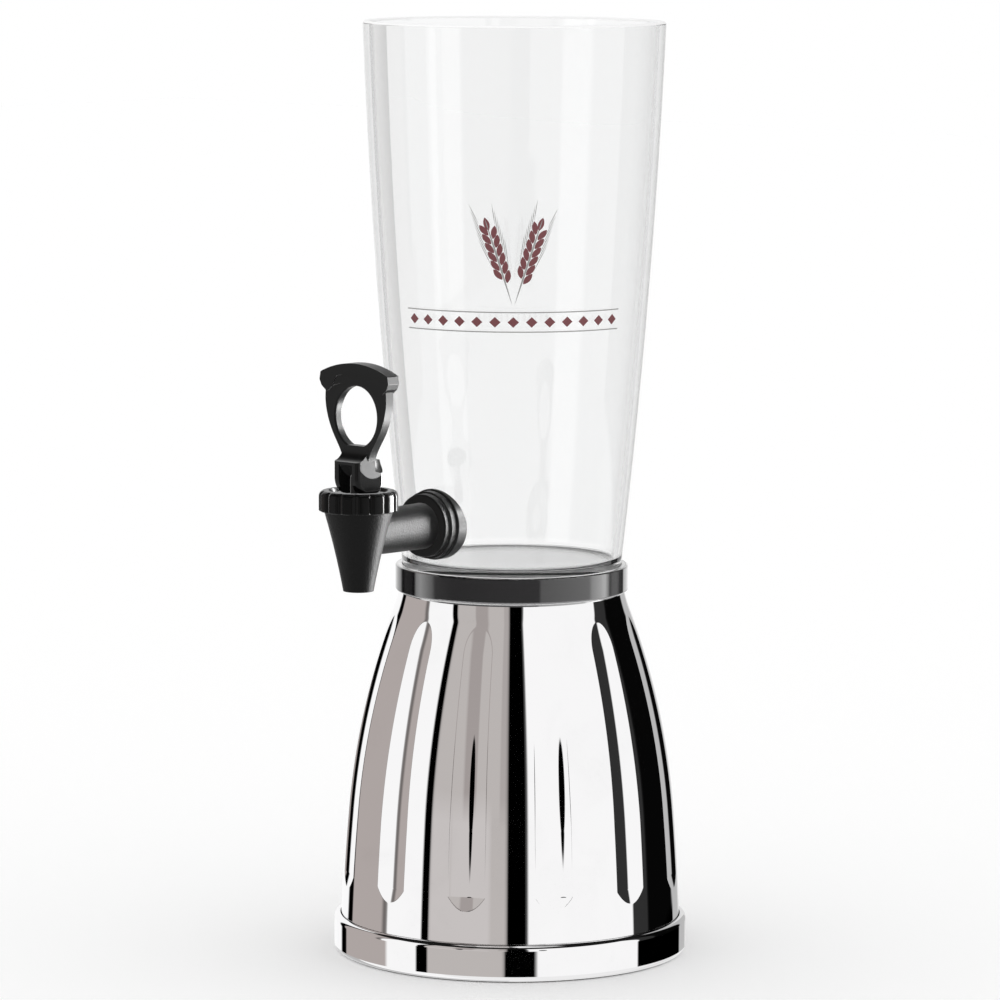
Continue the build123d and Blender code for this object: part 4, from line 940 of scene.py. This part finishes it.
def build_spring():
    """Coil spring round the stem, between the cup and the seal, built at one length; the stem presses it
    together as it rises.
    """
    steps = np.linspace(0, 1, SPRING_TURNS * SPRING_STEPS + 1)
    turn = steps * SPRING_TURNS * 2 * pi
    rise = (SPRING_TOP_Z - SPRING_LOW_Z - 2 * SPRING_WIRE) / (SPRING_TURNS * 2 * pi)
    x, y = SPRING_RADIUS * np.cos(turn), SPRING_RADIUS * np.sin(turn)
    core = np.stack([x, y, SPRING_LOW_Z + SPRING_WIRE + rise * turn], 1)
    along = np.stack([-y, x, np.full_like(turn, rise)], 1)
    along /= np.linalg.norm(along, axis=1)[:, None]
    out = np.stack([np.cos(turn), np.sin(turn), np.zeros_like(turn)], 1)
    up = np.cross(out, along)
    shell = bmesh.new()
    rings = []
    for centre, side, top in zip(core, out, up):
        ring = []
        for angle in np.linspace(0, 2 * pi, WIRE_SIDES, endpoint=False):
            x, y, z = centre + SPRING_WIRE * (side * cos(angle) + top * sin(angle))
            ring.append(shell.verts.new((x * MM, (y - TAP_REACH) * MM, z * MM)))
        rings.append(ring)
    for low, high in zip(rings, rings[1:]):
        for i in range(WIRE_SIDES):
            j = (i + 1) % WIRE_SIDES
            shell.faces.new((low[i], low[j], high[j], high[i]))
    shell.faces.new(rings[0])
    shell.faces.new(rings[-1][::-1])
    bmesh.ops.recalc_face_normals(shell, faces=shell.faces)
    mesh = bpy.data.meshes.new("coil_spring")
    shell.to_mesh(mesh)
    shell.free()
    mesh.shade_smooth()
    spring = plain_object("coil_spring", mesh)
    dress(spring, STEEL)
    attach(spring, "vessel_and_tap")
    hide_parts("return_spring")
    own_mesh(spring)


build_spring()

# ---------------------------------------------------------------- lever
# One black moulding: a cam block, a finger ring and an arched bar. The block is polished by use but for
# the round scoops in its sides, and a steel pin through it carries the stem.
SCOOP_CENTRE, SCOOP_RADIUS, BLOCK_TOP_Z = (0, -0.108, 0.2505), 0.0116, 0.2468
POLISH_BLUR, POLISHED = 0.0004, 0.12


def lever_material():
    material = plastic("lever_black", *grey(0.003, 0.005), (0.3, 0.4), 0.0006, 0.00001, ior=1.28)
    tree = material.node_tree
    skin = tree.nodes["Principled BSDF"].inputs["Roughness"]
    worn = skin.links[0].from_socket
    place = put(tree, "ShaderNodeTexCoord").outputs["Object"]
    flat = put(tree, "ShaderNodeVectorMath", {0: place, 1: (0, 1, 1)}, operation="MULTIPLY").outputs[0]
    away = put(tree, "ShaderNodeVectorMath", {0: flat, 1: SCOOP_CENTRE}, operation="DISTANCE")
    outside = spread(tree, away.outputs["Value"], 0.0, 1.0, SCOOP_RADIUS, SCOOP_RADIUS + POLISH_BLUR)
    height = put(tree, "ShaderNodeSeparateXYZ", {0: place}).outputs["Z"]
    block = spread(tree, height, 0.0, 1.0, BLOCK_TOP_Z + POLISH_BLUR, BLOCK_TOP_Z)
    polished = maths(tree, "MULTIPLY", outside, block)
    mixed = put(tree, "ShaderNodeMix", {"Factor": polished, "A": worn, "B": POLISHED})
    tree.links.new(mixed.outputs["Result"], skin)
    return material


dress(node["lever"], lever_material())
dress(node["lever_pin"], STEEL)

# ---------------------------------------------------------------- light for the tap
# A lamp of its own, beside the camera and low, picks out the tap's right-hand sides. The tap's pieces are
# kept out of the chrome's reflections.
TAP_LAMP_TURN, TAP_LAMP_DISTANCE, TAP_LAMP_Z = radians(117), 1.1, 0.2
TAP_LAMP_SIZE, TAP_LAMP_POWER = (0.45, 1.0), 90.0
TAP_LAMP_AIM = (0, -0.11, 0.22)
TAP_PIECES = ("tap_body", "lever", "outer_washer", "stem", "lever_pin")
for name in (*TAP_PIECES, "shank_nut", "inner_washer"):
    node[name].visible_glossy = False


def build_tap_lamp():
    aim = Vector(TAP_LAMP_AIM)
    way = to_camera * cos(TAP_LAMP_TURN) + to_right * sin(TAP_LAMP_TURN)
    place = aim + way * TAP_LAMP_DISTANCE
    place.z = TAP_LAMP_Z
    lit = [node[name] for name in TAP_PIECES] + [bpy.data.objects["ribbed_nut"]]
    linked_lamp("tap_lamp", lit, place, aim, TAP_LAMP_SIZE, TAP_LAMP_POWER)


build_tap_lamp()
